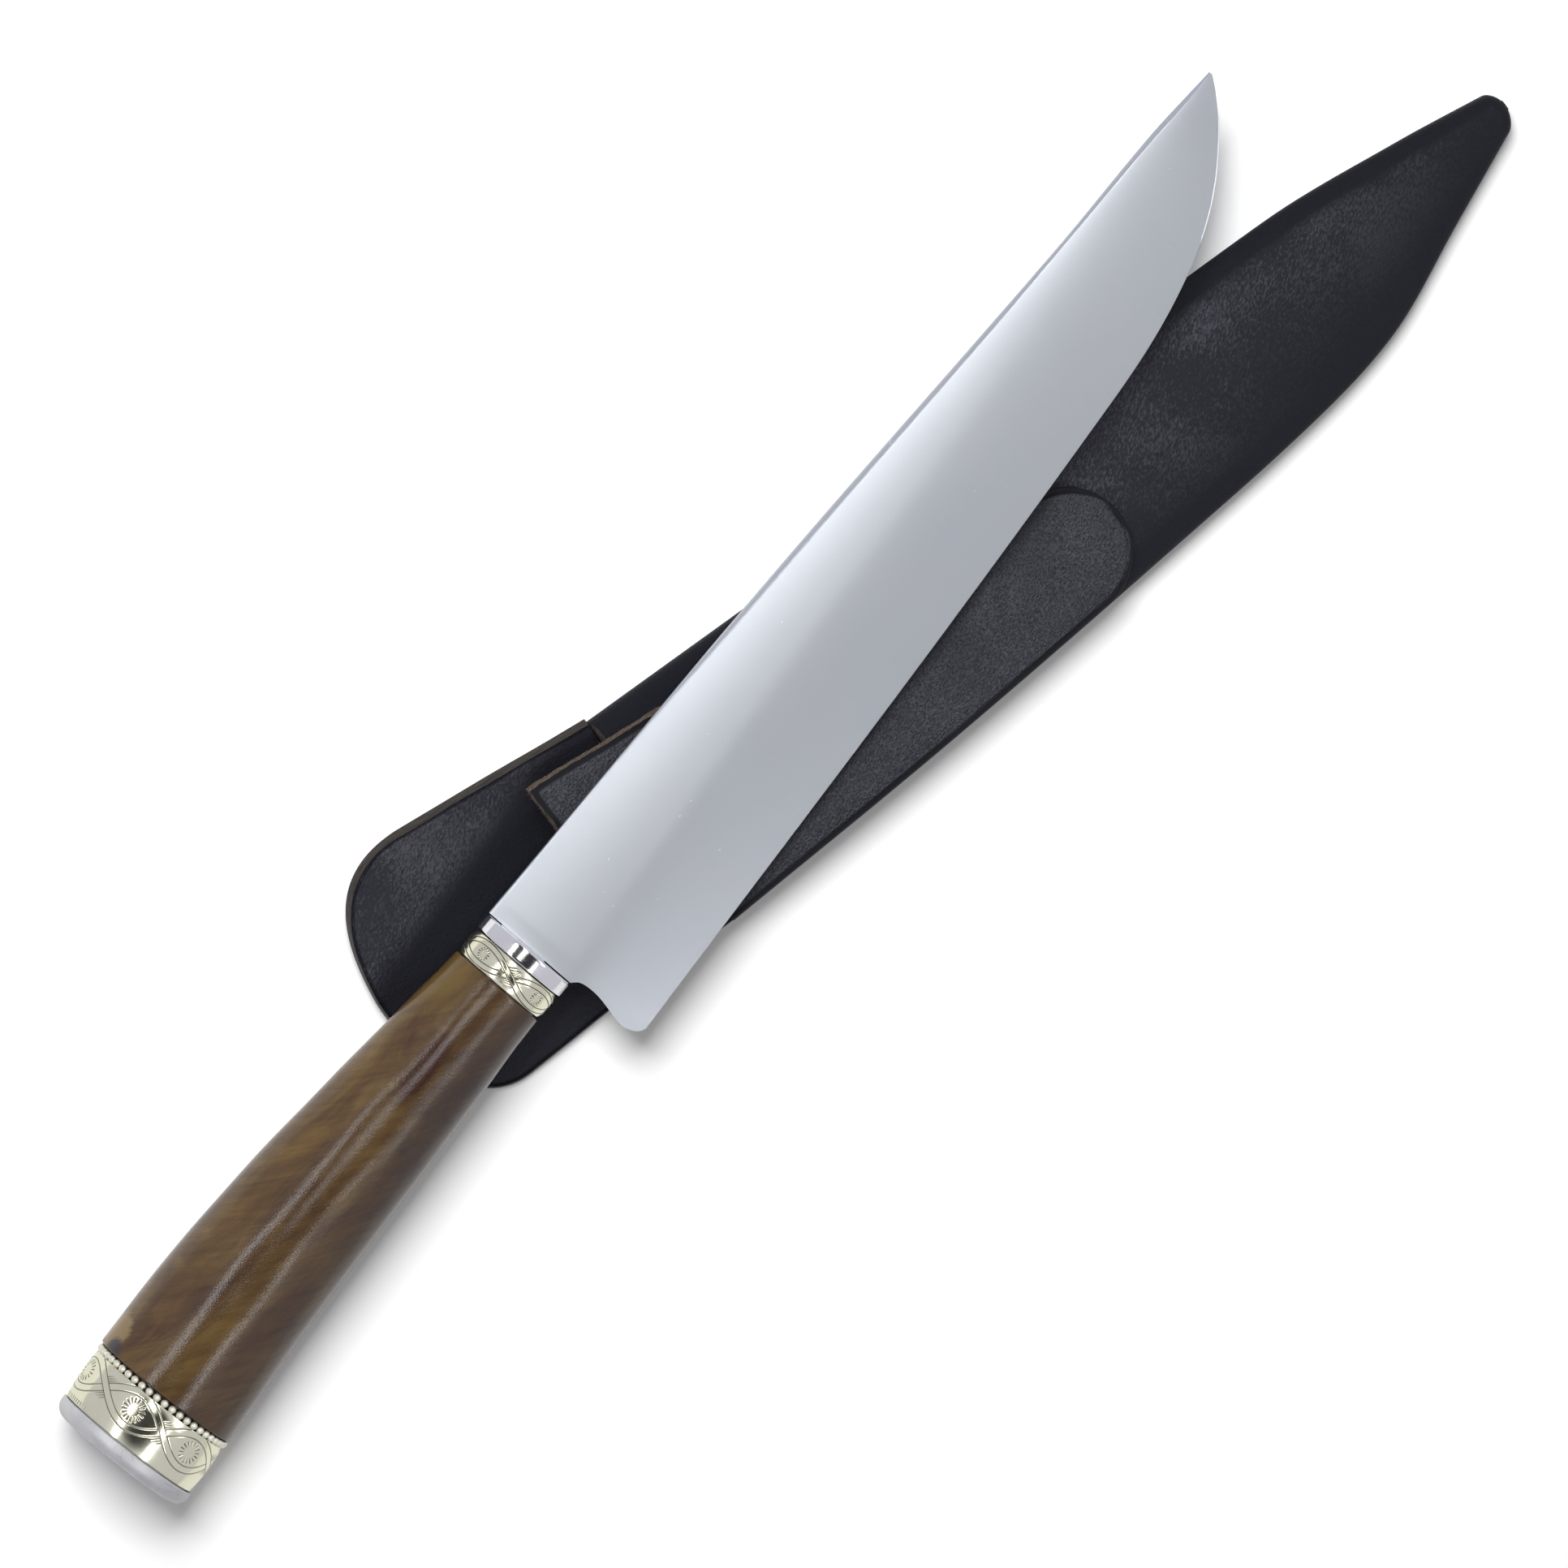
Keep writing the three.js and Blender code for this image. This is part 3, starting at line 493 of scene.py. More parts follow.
# Figured hardwood, sanded fine, oiled and buffed: brown with darker streaks and golden patches.
# Under the oil it is satin, and the buffed oil over it is sharp.
def polished_wood():
    material, tree, shader, place = new_material("polished_hardwood", "knife")
    spineward = add(tree, "SeparateXYZ", {}, {"Vector": place}, "Y")
    # Broad figure, patches about 30 mm long and 8 mm across
    long_way = add(tree, "Mapping", BY_SIZE, {
        "Vector": place, "Rotation": (0.0, 0.0, math.radians(-14)), "Scale": (30.0, 8.0, 12.0),
    })
    figure = add(tree, "TexNoise", {}, {
        "Vector": long_way, "Scale": 1.0, "Detail": 5.0, "Roughness": 0.6, "Distortion": 1.2,
    })
    ground = add(tree, "ValToRGB", {}, {"Fac": figure})
    for stop, position, shade in zip(ground.node.color_ramp.elements, (0.32, 0.7), ("#422A16", "#6D562C")):
        stop.position = position
        stop.color = linear(shade)
    # Painted shade: the lower side of the grip, on the side of the edge, is painted cooler and darker than
    # the upper one
    side = add(tree, "MapRange", SOFT_STEP, {
        "Value": spineward, "From Min": 8.0, "From Max": -7.0, "To Max": 0.55,
    })
    shaded_side = add(tree, "Mix", COLOUR_MIX, {0: side, 6: ground, 7: "#45301D"})
    # Bands about 5 mm wide that lie slantwise across the grip
    across = add(tree, "Mapping", BY_SIZE, {
        "Vector": place, "Rotation": (0.0, 0.0, math.radians(-40)), "Scale": (24.0, 5.0, 16.0),
    })
    bands = add(tree, "TexNoise", {}, {"Vector": across, "Scale": 1.0, "Detail": 3.0, "Distortion": 0.7})
    banded = add(tree, "MapRange", {}, {
        "Value": bands, "From Min": 0.35, "From Max": 0.65, "To Max": 0.42,
    })
    striped = add(tree, "Mix", COLOUR_MULTIPLY, {0: banded, 6: shaded_side, 7: "#A87F62"})
    # Fine grain, slanting lines about 1 mm apart
    slant = add(tree, "Mapping", BY_SIZE, {
        "Vector": place, "Rotation": (0.0, 0.0, math.radians(-38)), "Scale": (15.0, 1.0, 8.0),
    })
    grain = add(tree, "TexNoise", {}, {
        "Vector": slant, "Scale": 1.0, "Detail": 5.0, "Roughness": 0.6, "Distortion": 0.5,
    })
    grained = add(tree, "MapRange", {}, {
        "Value": grain, "From Min": 0.4, "From Max": 0.68, "To Max": 0.35,
    })
    lined = add(tree, "Mix", COLOUR_MULTIPLY, {0: grained, 6: striped, 7: "#8E7B68"})
    # Blue-black spots about 3 mm across, for the dark heart
    spots = add(tree, "TexNoise", {}, {"Vector": place, "Scale": 1 / 5, "Detail": 3.0})
    spotted = add(tree, "MapRange", {}, {
        "Value": spots, "From Min": 0.5, "From Max": 0.7, "To Min": 0.35, "To Max": 0.8,
    })
    # Patches of another colour. Each has its middle, its unit along, across and through the grip,
    # how ragged it is, how many units out it ends and is full, its strength and its colour
    round_patch = (1.0, 1.0, 1.0)
    patches = (
        # Golden sapwood at the front of the upper side
        ((-17.0, 13.0, 4.0), round_patch, 0.0, 13.0, 3.0, 0.6, "#64501F"),
        # A dark heart along the front of the lower side, about 70 mm long
        ((-47.0, -8.0, 6.0), (40.0, 8.5, 14.0), 0.0, 1.15, 0.35, spotted, "#271D1C"),
        # A reddish knot near the front, about 20 mm long
        ((-35.5, 3.2, 10.0), (11.0, 2.9, 8.0), 0.7, 1.5, 0.95, 1.0, "#34180A"),
        # Tan sapwood at the butt, on the upper side
        ((-125.5, 21.5, 4.0), round_patch, 5.0, 7.8, 6.2, 0.85, "#806A44"),
        # A small blue-black stain beside it
        ((-129.3, 19.5, 6.5), round_patch, 4.0, 5.2, 3.4, 0.9, "#1E2026"),
    )
    colour = lined
    for middle, unit, ragged, end, full, strength, tint in patches:
        spot = add(tree, "Mapping", BY_SIZE, {"Vector": place, "Location": middle, "Scale": unit})
        far = add(tree, "VectorMath", {"operation": "LENGTH"}, {0: spot})
        edge = add(tree, "Math", {"operation": "MULTIPLY_ADD"}, {0: grain, 1: ragged, 2: far})
        patch = add(tree, "MapRange", SOFT_STEP, {
            "Value": edge, "From Min": end, "From Max": full, "To Max": strength,
        })
        colour = add(tree, "Mix", COLOUR_MIX, {0: patch, 6: colour, 7: tint})
    rough = add(tree, "MapRange", {}, {"Value": grain, "To Min": 0.3, "To Max": 0.45})
    # Sanding left a fine tooth, about 0.35 mm, that makes the highlights sparkle
    tooth = add(tree, "TexNoise", {}, {"Vector": place, "Scale": 1 / 0.35, "Detail": 2.0})
    bump = add(tree, "Bump", {}, {"Strength": 0.26, "Distance": 0.0001, "Height": tooth})
    fill(tree, shader, {
        "Coat Weight": 0.8,
        "Specular IOR Level": 0.2,
        "Coat Roughness": 0.12,
        "Coat Normal": bump,
        "Base Color": colour,
        "Roughness": rough,
        "Normal": bump,
    })
    return material


# Vegetable-tanned cowhide, dyed black and waxed: near black, with a fine blue-grey sheen on the grain, partly
# painted into its colour as grey flecks.
# The wax shines, and the flecks show, toward one side, from start to full millimetres that way: partly wear,
# partly painted sheen.
# It is dull and darker on the other side, and where it tilts by a given angle, in degrees, or more; that
# darkness is painted shade.
def smooth_leather(name, toward, start, full, dull_and_shaded_tilt, fleck_and_sheen_colour, shine):
    material, tree, shader, place = new_material(name, "sheath")
    # Fleck areas about 25 mm across, made of short creases about 1 mm by 0.45 mm: partly wear, partly painted
    # sheen
    area = add(tree, "TexNoise", {}, {"Vector": place, "Scale": 1 / 25, "Detail": 3.0})
    crease = add(tree, "Mapping", BY_SIZE, {
        "Vector": place, "Rotation": (0.0, 0.0, math.radians(35)), "Scale": (1.0, 0.45, 0.7),
    })
    fleck = add(tree, "TexNoise", {}, {"Vector": crease, "Scale": 1.0, "Detail": 3.0, "Roughness": 0.65})
    both = add(tree, "Math", {"operation": "MULTIPLY_ADD"}, {0: area, 1: 0.7, 2: fleck})
    fleck_pattern = add(tree, "MapRange", {}, {"Value": both, "From Min": 0.78, "From Max": 1.04})
    # Painted sheen and shade: the flecks show only toward one side, and the rest is left dark
    reach = add(tree, "VectorMath", {"operation": "DOT_PRODUCT"}, {0: place, 1: toward})
    side = add(tree, "MapRange", SOFT_STEP, {"Value": reach, "From Min": start, "From Max": full})
    # Painted shade: where the leather tilts away from the top, the flecks go and it is left dark
    normal = add(tree, "TexCoord", {}, {}, "Normal")
    facing_up = add(tree, "SeparateXYZ", {}, {"Vector": normal}, "Z")
    top = add(tree, "MapRange", SOFT_STEP, {
        "Value": facing_up, "From Min": math.cos(math.radians(dull_and_shaded_tilt)), "From Max": 1.0,
    })
    lit_and_waxed = add(tree, "Math", {"operation": "MULTIPLY"}, {0: side, 1: top})
    sheen_and_wear_flecks = add(tree, "Math", {"operation": "MULTIPLY"}, {0: fleck_pattern, 1: lit_and_waxed})
    # Grey flecks, partly wear and partly painted sheen, on near black that is partly painted shade
    colour = add(tree, "Mix", COLOUR_MIX, {0: sheen_and_wear_flecks, 6: "#0C0D11", 7: fleck_and_sheen_colour})
    # Follicles about 0.5 mm apart
    cells = add(tree, "TexVoronoi", {"feature": "SMOOTH_F1"}, {"Vector": place, "Scale": 1 / 0.5})
    height = add(tree, "Math", {"operation": "MULTIPLY_ADD"}, {0: fleck, 1: 1.2, 2: cells})
    bump = add(tree, "Bump", {}, {"Strength": 1.0, "Distance": 0.00014, "Height": height})
    # The wax lies unevenly over the grain
    waxed = add(tree, "MapRange", {}, {
        "Value": fleck, "From Min": 0.35, "From Max": 0.65, "To Min": 0.44, "To Max": 0.27,
    })
    rough = add(tree, "Mix", {}, {0: lit_and_waxed, 2: 0.7, 3: waxed})
    fill(tree, shader, {
        "Specular Tint": "#EAEBFF",
        "Specular IOR Level": shine,
        "Base Color": colour,
        "Roughness": rough,
        "Normal": bump,
    })
    return material


# The same hide boarded to raise its grain: close pebbles that break up the shine, their crowns painted light
# and their valleys painted dark.
# Its border is pressed flat and is dull, and it is darker, partly its own finish and partly painted shade
# along the edge and its groove.
def pebbled_leather():
    material, tree, shader, place = new_material("pebbled_black_leather", "sheath")
    # Soft pebbles about 0.6 mm by 0.35 mm, longer down the tongue and run together here and there
    stretch = add(tree, "Mapping", BY_SIZE, {
        "Vector": place, "Rotation": (0.0, 0.0, math.radians(20)), "Scale": (0.6, 0.36, 0.5),
    })
    grain = add(tree, "TexNoise", {}, {"Vector": stretch, "Scale": 1.0, "Detail": 1.0})
    crown = add(tree, "MapRange", {}, {"Value": grain, "From Min": 0.3, "From Max": 0.7})
    # The border is flat for about 1 mm
    rim = add(tree, "Attribute", {"attribute_name": "rim"}, {}, "Fac")
    field = add(tree, "MapRange", SOFT_STEP, {"Value": rim, "From Min": 0.9, "From Max": 1.6})
    raised_and_lit = add(tree, "Math", {"operation": "MULTIPLY"}, {0: crown, 1: field})
    area = add(tree, "TexNoise", {}, {"Vector": place, "Scale": 1 / 14, "Detail": 3.0})
    tone = add(tree, "Mix", COLOUR_MIX, {0: area, 6: "#303236", 7: "#585A5E"})
    # Painted light: the pebbles' crowns are painted lighter and their valleys darker
    colour = add(tree, "Mix", COLOUR_MIX, {0: raised_and_lit, 6: "#1A1A1E", 7: tone})
    # Painted shade: the border is darker, partly its own pressed finish and partly the shade along the edge
    # and its groove
    bordered_and_shaded = add(tree, "Mix", COLOUR_MIX, {0: field, 6: "#09090B", 7: colour})
    rough = add(tree, "MapRange", {}, {"Value": field, "To Min": 0.75, "To Max": 0.36})
    bump = add(tree, "Bump", {}, {"Strength": 1.0, "Distance": 0.00028, "Height": raised_and_lit})
    fill(tree, shader, {
        "Specular IOR Level": 0.4,
        "Specular Tint": "#ECEDFF",
        "Roughness": rough,
        "Base Color": bordered_and_shaded,
        "Normal": bump,
    })
    return material


# The cut edge of dyed hide, rubbed with wax: grey-brown, with fibres running along it
def burnished_edge():
    material, tree, shader, place = new_material("burnished_hide_edge", "sheath")
    run = add(tree, "Mapping", {}, {"Vector": place, "Scale": (1 / 6, 1 / 1.2, 1 / 0.4)})
    fibre = add(tree, "TexNoise", {}, {"Vector": run, "Scale": 1.0, "Detail": 5.0, "Roughness": 0.65})
    tint = add(tree, "ValToRGB", {}, {"Fac": fibre})
    for stop, position, shade in zip(tint.node.color_ramp.elements, (0.32, 0.7), ("#0E0D0D", "#3F3731")):
        stop.position = position
        stop.color = linear(shade)
    bump = add(tree, "Bump", {}, {"Strength": 0.4, "Distance": 0.0002, "Height": fibre})
    fill(tree, shader, {"Roughness": 0.62, "Base Color": tint, "Normal": bump})
    return material


# The undyed flesh side of the hide: reddish brown, dull and fibrous
def raw_hide():
    material, tree, shader, place = new_material("raw_hide", "sheath")
    fibre = add(tree, "TexNoise", {}, {
        "Vector": place, "Scale": 1 / 0.7, "Detail": 6.0, "Roughness": 0.75, "Distortion": 0.6,
    })
    tint = add(tree, "ValToRGB", {}, {"Fac": fibre})
    for stop, position, shade in zip(tint.node.color_ramp.elements, (0.4, 0.64), ("#1B130E", "#634C32")):
        stop.position = position
        stop.color = linear(shade)
    bump = add(tree, "Bump", {}, {"Strength": 0.6, "Distance": 0.0003, "Height": fibre})
    fill(tree, shader, {"Roughness": 0.85, "Sheen Weight": 0.15, "Base Color": tint, "Normal": bump})
    return material


# Waxed hide lace: black, with a slight waxy shine that comes and goes every 2 mm or so
def waxed_lace():
    material, tree, shader, place = new_material("waxed_lace", "sheath")
    wax = add(tree, "TexNoise", {}, {"Vector": place, "Scale": 1 / 2, "Detail": 3.0})
    tint = add(tree, "Mix", COLOUR_MIX, {0: wax, 6: "#171615", 7: "#2E2A27"})
    rough = add(tree, "MapRange", {}, {"Value": wax, "To Min": 0.45, "To Max": 0.65})
    fill(tree, shader, {"Base Color": tint, "Roughness": rough})
    return material


# Cutler's resin, melted and poured round the tang: dark brown and glassy
def cutlers_resin():
    material, tree, shader, place = new_material("cutlers_resin", "knife")
    swirl = add(tree, "TexNoise", {}, {"Vector": place, "Scale": 1 / 6, "Detail": 4.0, "Distortion": 1.5})
    tint = add(tree, "Mix", COLOUR_MIX, {0: swirl, 6: "#1E1712", 7: "#3A2A1E"})
    fill(tree, shader, {"Roughness": 0.3, "Base Color": tint})
    return material


STEEL = stainless_steel()
ALPACA = engraved_alpaca()
BRIGHT = bright_alpaca()
SATIN = satin_alpaca()
PEARLED = pearled_alpaca()
WOOD = polished_wood()
# The shell: its flecks fade toward the tip, the edge side and its tilted sides, as painted shade
SHELL_LEATHER = smooth_leather(
    "waxed_black_leather", toward=(-0.29, 0.96, 0.0), start=-66.0, full=-31.0, dull_and_shaded_tilt=12.0,
    fleck_and_sheen_colour="#424248", shine=0.35,
)
# The panel: the band beside the knife is left dark, as a painted shadow of the knife
PANEL_LEATHER = smooth_leather(
    "smooth_black_leather", toward=(-0.31, 0.95, 0.0), start=27.5, full=36.0, dull_and_shaded_tilt=60.0,
    fleck_and_sheen_colour="#444448", shine=0.45,
)
PEBBLED = pebbled_leather()
EDGE = burnished_edge()
RAW = raw_hide()
LACE = waxed_lace()
RESIN = cutlers_resin()


# Blade
spine_drop = through([(0, 0), (0.4, 0.31), (0.79, 0.77), (0.92, 0.855), (1, 1)])
depth_left = through([
    (0, 1), (0.4, 0.882), (0.71, 0.73), (0.79, 0.67), (0.87, 0.56),
    (0.92, 0.43), (0.965, 0.24), (0.99, 0.09), (1, 0.02),
])
spine_bevel = through([
    (0, 0.25), (0.2, 0.3), (0.34, 0.9), (0.4, 1.0), (0.7, 0.8),
    (0.8, 0.55), (0.9, 0.9), (0.96, 1.0), (1, 0.4),
])
crown_line = through([(0, 0.5), (0.24, 0.4), (0.6, 0.27), (0.84, 0.12), (1, 0.03)])


def handle_lean(s):
    return lerp(FRONT_LEAN, REAR_LEAN, s / HANDLE_LENGTH)


def heel_shift(y):
    """How far the heel's contour stands forward of the bolster's face, down the blade from spine to edge."""
    bottom = SPINE_HEIGHT - BLADE_DEPTH
    foot = -GRIP_FRONT[0] / 2 - FIT_GAP
    face = FIT_GAP + np.maximum(y, foot) * handle_lean(0)
    below = np.clip((foot - y) / (foot - bottom - HEEL_ROUND), 0, None)
    choil = CHOIL_DEPTH * np.sin(np.pi * np.sqrt(np.clip(below, 0, 1))) - HEEL_BULGE * smooth(below, 0.4, 1)
    corner = np.clip((bottom + HEEL_ROUND - y) / HEEL_ROUND, 0, 1)
    round_off = 0.6 * HEEL_ROUND * (1 - np.sqrt(1 - corner * corner)) - HEEL_BULGE
    return face + np.where(y > foot, 0, np.where(below < 1, choil, round_off))


def blade():
    columns = 260
    rows = 72
    piece = flat_grid("blade_steel", columns, rows)
    grid = points(piece)
    share = (1 - np.cos(np.pi * (grid[:, 0] + 0.5))) / 2
    row = np.rint((0.5 - grid[:, 1]) * rows)
    x = share * BLADE_LENGTH
    depth = BLADE_DEPTH * depth_left(share)
    spine = SPINE_HEIGHT - SPINE_DROP * spine_drop(share)
    half = lerp(SPINE_THICKNESS, TIP_THICKNESS, share) / 2
    thin = np.minimum(EDGE_THICKNESS, half) / 2
    bevel = np.minimum(spine_bevel(share), depth / 4)
    # The point thins with the depth that is left
    half = np.minimum(half, thin + POINT_TAPER * depth)
    # A few rows round over the spine, and the rest go down the face to the keen edge, widest round the belly
    face = np.clip((row - SPINE_ROWS) / (rows - SPINE_ROWS - 1), 0, 1)
    keen = KEEN_WIDTH + KEEN_BELLY * smooth(x, *KEEN_GROWS) * (1 - smooth(x, *KEEN_FADES))
    keen = np.minimum(keen, depth / 8)
    down = np.where(row < SPINE_ROWS, bevel * row / SPINE_ROWS, lerp(bevel, depth - keen, face))
    down = np.where(row == rows, depth, down)
    w = down / depth
    # Above the crown line, which nears the spine along the blade, the face rounds over.
    # Below it the face eases into a flat that runs to the edge.
    crown = crown_line(share)
    past = np.clip((w - crown) / (1 - crown), 0, 1)
    fall = past - CROWN_EASE * (1 - np.exp(-past / CROWN_EASE))
    fall = fall / (1 - CROWN_EASE * (1 - math.exp(-1 / CROWN_EASE)))
    rounded = CROWN_FALL * crown * np.clip(1 - w / crown, 0, 1) ** CROWN_CURVE
    swell = np.where(w < crown, 1 - rounded, 1 - fall)
    z = thin + (half - thin) * swell
    up_row = np.clip(1 - row / SPINE_ROWS, 0, 1)
    z = z - SPINE_FALL * bevel * up_row ** SPINE_CURVE
    z = np.where(row == rows, 0.6 * thin, z)
    y = spine - down
    # A strip next to the bolster was left a hair low when the face was ground
    z = z - HEEL_LOW * (1 - smooth(x, *HEEL_STRIP)) * smooth(w, 0, 0.1)
    x = x + heel_shift(y) * (1 - smooth(x, 0, HEEL_BLEND))
    put(piece, np.stack([x, y, np.maximum(z, LEAST_HALF)], axis=1))
    under = thicken(piece)
    places = points(piece)
    places[under, 2] = -(places[under, 2] + FAR_DOWN)
    put(piece, places)
    # The tang, a bar that tapers back into the grip
    bpy.ops.mesh.primitive_cube_add(size=1)
    tang = named("tang")
    bar = points(tang)
    back = bar[:, 0] < 0
    x = np.where(back, -TANG_LENGTH, TANG_LAP)
    width = np.where(back, TANG_BACK, TANG_FRONT)
    put(tang, np.stack([x, TANG_RISE + bar[:, 1] * width, bar[:, 2] * TANG_THICKNESS], axis=1))
    piece.select_set(True)
    bpy.context.view_layer.objects.active = piece
    bpy.ops.object.join()
    settle(piece, "knife", [STEEL], "blade")


# Handle
axis_rise = through([(0, 0), (0.34, 0.62), (0.67, 1), (1, 0.64)])


def handle_halves(s):
    share = np.clip((s - GRIP_START) / (GRIP_END - GRIP_START), 0, 1)
    swell = 0.7 * np.sin(share * np.pi / 2) + 0.3 * share
    wide = np.where(s > GRIP_END, REAR_FERRULE[0], lerp(GRIP_FRONT[0], GRIP_REAR[0], swell))
    thick = np.where(s > GRIP_END, REAR_FERRULE[1], lerp(GRIP_FRONT[1], GRIP_REAR[1], swell))
    return wide / 2, thick / 2


def oval(s, turn, grow):
    """A point on the handle's oval, square to its axis.
    Turn 0 is on the spine side, and a quarter turn is on top."""
    wide, thick = handle_halves(s)
    lean = handle_lean(s)
    across = (wide + grow) * np.cos(turn) / np.hypot(1, lean)
    y = AXIS_RISE * axis_rise(s / HANDLE_LENGTH) + across
    return -s + across * lean, y, (thick + grow) * np.sin(turn)


def turned(name, stations, around, shape=oval):
    """A tube swept along the handle, its rings at stations that are each (place along the handle, growth)."""
    along, growth = np.array(stations, dtype=float).T
    return rolled(name, len(stations), around, lambda ring, turn: shape(along[ring], turn, growth[ring]))


def rounded_corner(start, end, radius, steps):
    """Stations round an outer corner, from one place along the handle to another."""
    turns = [math.pi / 2 * k / steps for k in range(steps + 1)]
    if start < end:
        return [(end - radius * (1 - math.sin(t)), radius * (math.cos(t) - 1)) for t in turns]
    return [(end + radius * (1 - math.cos(t)), radius * (math.sin(t) - 1)) for t in turns]


def front_bolster():
    stations = [(s, grow + FIT_GAP) for s, grow in rounded_corner(BOLSTER_LENGTH, 0.0, BOLSTER_ROUND, 6)]
    stations += [(0.8, FIT_GAP), (2.0, FIT_GAP), (3.2, FIT_GAP)]
    back = rounded_corner(0.0, BOLSTER_LENGTH, BOLSTER_BACK_ROUND, 4)
    stations += [(s, grow + FIT_GAP) for s, grow in back]
    piece = turned("bolster_ring", stations, 160)
    close_ends(piece, bridge=False)
    settle(piece, "knife", [BRIGHT], "front_bolster")


def grip_shape(s, turn, grow):
    """The handle's oval as it was shaped by hand, so that its surface falls back a little here and there."""
    free = smooth(s, GRIP_START, GRIP_START + HAND_WAVE_FADE)
    free = free * (1 - smooth(s, GRIP_END - HAND_WAVE_FADE, GRIP_END))
    wave = ripple(s, GRIP_REAR[0] / 2 * np.cos(turn), HAND_WAVE_SIZE, 8) - 1
    return oval(s, turn, grow + HAND_WAVE * free * wave)


def grip():
    stations = [(FERRULE_START, -TENON_INSET), (GRIP_START, -TENON_INSET)]
    stations += rounded_corner(GRIP_END, GRIP_START, 0.3, 3)
    stations += [(s, 0.0) for s in np.linspace(GRIP_START + 1, GRIP_END - 2, 110)]
    stations += rounded_corner(GRIP_START, GRIP_END, 0.4, 4)
    stations += [(GRIP_END, -2.2), (TENON_END, -TENON_INSET)]
    piece = turned("grip_wood", stations, 160, grip_shape)
    close_ends(piece, bridge=False)
    settle(piece, "knife", [WOOD], "grip")


def rear_bead_ring():
    middle = GRIP_END + FIT_GAP + BEAD_RING_HALF
    sides = 12
    core_length, core_height = BEAD_CORE

    def core_place(ring, turn):
        side = 2 * np.pi * (ring % sides) / sides
        s = middle + core_length / 2 * np.sin(side)
        return oval(s, turn, core_height / 2 * np.cos(side) - BEAD_CORE_INSET)

    core = rolled("bead_core", sides + 1, 152, core_place)
    bpy.ops.mesh.primitive_uv_sphere_add(segments=16, ring_count=10, radius=BEAD_RADIUS)
    bead = named("bead")
    places = []
    for k in range(BEADS):
        turn = 2 * math.pi * (k + 0.5) / BEADS
        spot = oval(np.array([middle]), np.array([turn]), np.array([-BEAD_INSET]))
        places.append(Matrix.Translation([float(part[0]) for part in spot]))
    join_copies(core, bead, places)
    core.name = "bead_ring"
    # Painted shade lies on the core and low on the beads, in the gaps between them
    grid = points(core)
    wide, thick = handle_halves(np.array([middle]))
    axis = AXIS_RISE * axis_rise(middle / HANDLE_LENGTH)
    high = np.hypot((grid[:, 1] - axis) / wide, grid[:, 2] / thick)
    mark(core, "foot", 1 - smooth(high, 0.95, 0.975))
    face_outward(core)
    settle(core, "knife", [PEARLED], "rear_bead_ring")


# Engraving
def stroke(distance, width, depth):
    """A burin's V-shaped cut, by the distance from its middle line."""
    return -depth * np.clip(1 - np.abs(distance) / (width / 2), 0, 1)


def engraving(u, v, lens, reach, half, petals):
    """How deep the ferrule is cut at u along the handle and v round it.
    Two ribbons cross at each end of a lens and bow out to a reach in its middle, round a rosette."""
    inside = v - (np.floor(v / lens) + 0.5) * lens
    depth = np.zeros_like(u)
    phase = np.pi * v / lens
    over = np.where(np.rint(v / lens) % 2 == 0, -1.0, 1.0)
    ribbons = {}
    for side in (1.0, -1.0):
        slope = side * reach * np.pi / lens * np.cos(phase)
        ribbons[side] = (u - side * reach * np.sin(phase)) / np.hypot(1, slope)
    for side in (1.0, -1.0):
        hidden = (over != side) & (np.abs(ribbons[-side]) < half)
        rims = np.minimum(*(stroke(ribbons[side] + off, *RIBBON_CUT) for off in (-half, half)))
        round_top = RIBBON_RISE * np.clip(1 - (ribbons[side] / half) ** 2, 0, 1)
        shown = np.where(np.abs(ribbons[side]) < half, rims + round_top, np.minimum(depth, rims))
        depth = np.where(hidden, depth, shown)
    # The rosette: drops cut round a plain middle
    away = np.hypot(u, inside)
    angle = np.arctan2(u, inside)
    step = 2 * np.pi / petals
    off = (angle + step / 2) % step - step / 2
    share = (away / reach - DROP_START) / DROP_LENGTH
    drop = stroke(away * np.sin(off), PETAL_CUT[0] * np.clip(0.35 + 0.65 * share, 0.2, 1), PETAL_CUT[1])
    depth = np.minimum(depth, np.where((share > 0) & (share < 1), drop, 0))
    # Feathers beside each crossing: they leave the ribbon that lies over, along the one that dives under it
    from_over = np.abs(np.where(over > 0, ribbons[1.0], ribbons[-1.0])) - half
    from_under = np.abs(np.where(over > 0, ribbons[-1.0], ribbons[1.0])) - half
    outer = np.abs(u) > reach * np.abs(np.sin(phase))
    beside = np.abs(v - np.rint(v / lens) * lens) < 0.3 * lens
    for k in range(FEATHERS):
        length = FEATHER_LENGTH - FEATHER_SHORTER * k
        taper = np.clip(1.15 - from_over / length, 0, 1) * np.clip(from_over / 0.2, 0, 1)
        aside = from_under - FEATHER_GAP - FEATHER_PITCH * k
        feather = stroke(aside, FEATHER_CUT[0], FEATHER_CUT[1] * taper)
        depth = np.minimum(depth, np.where(outer & beside, feather, 0))
    return depth


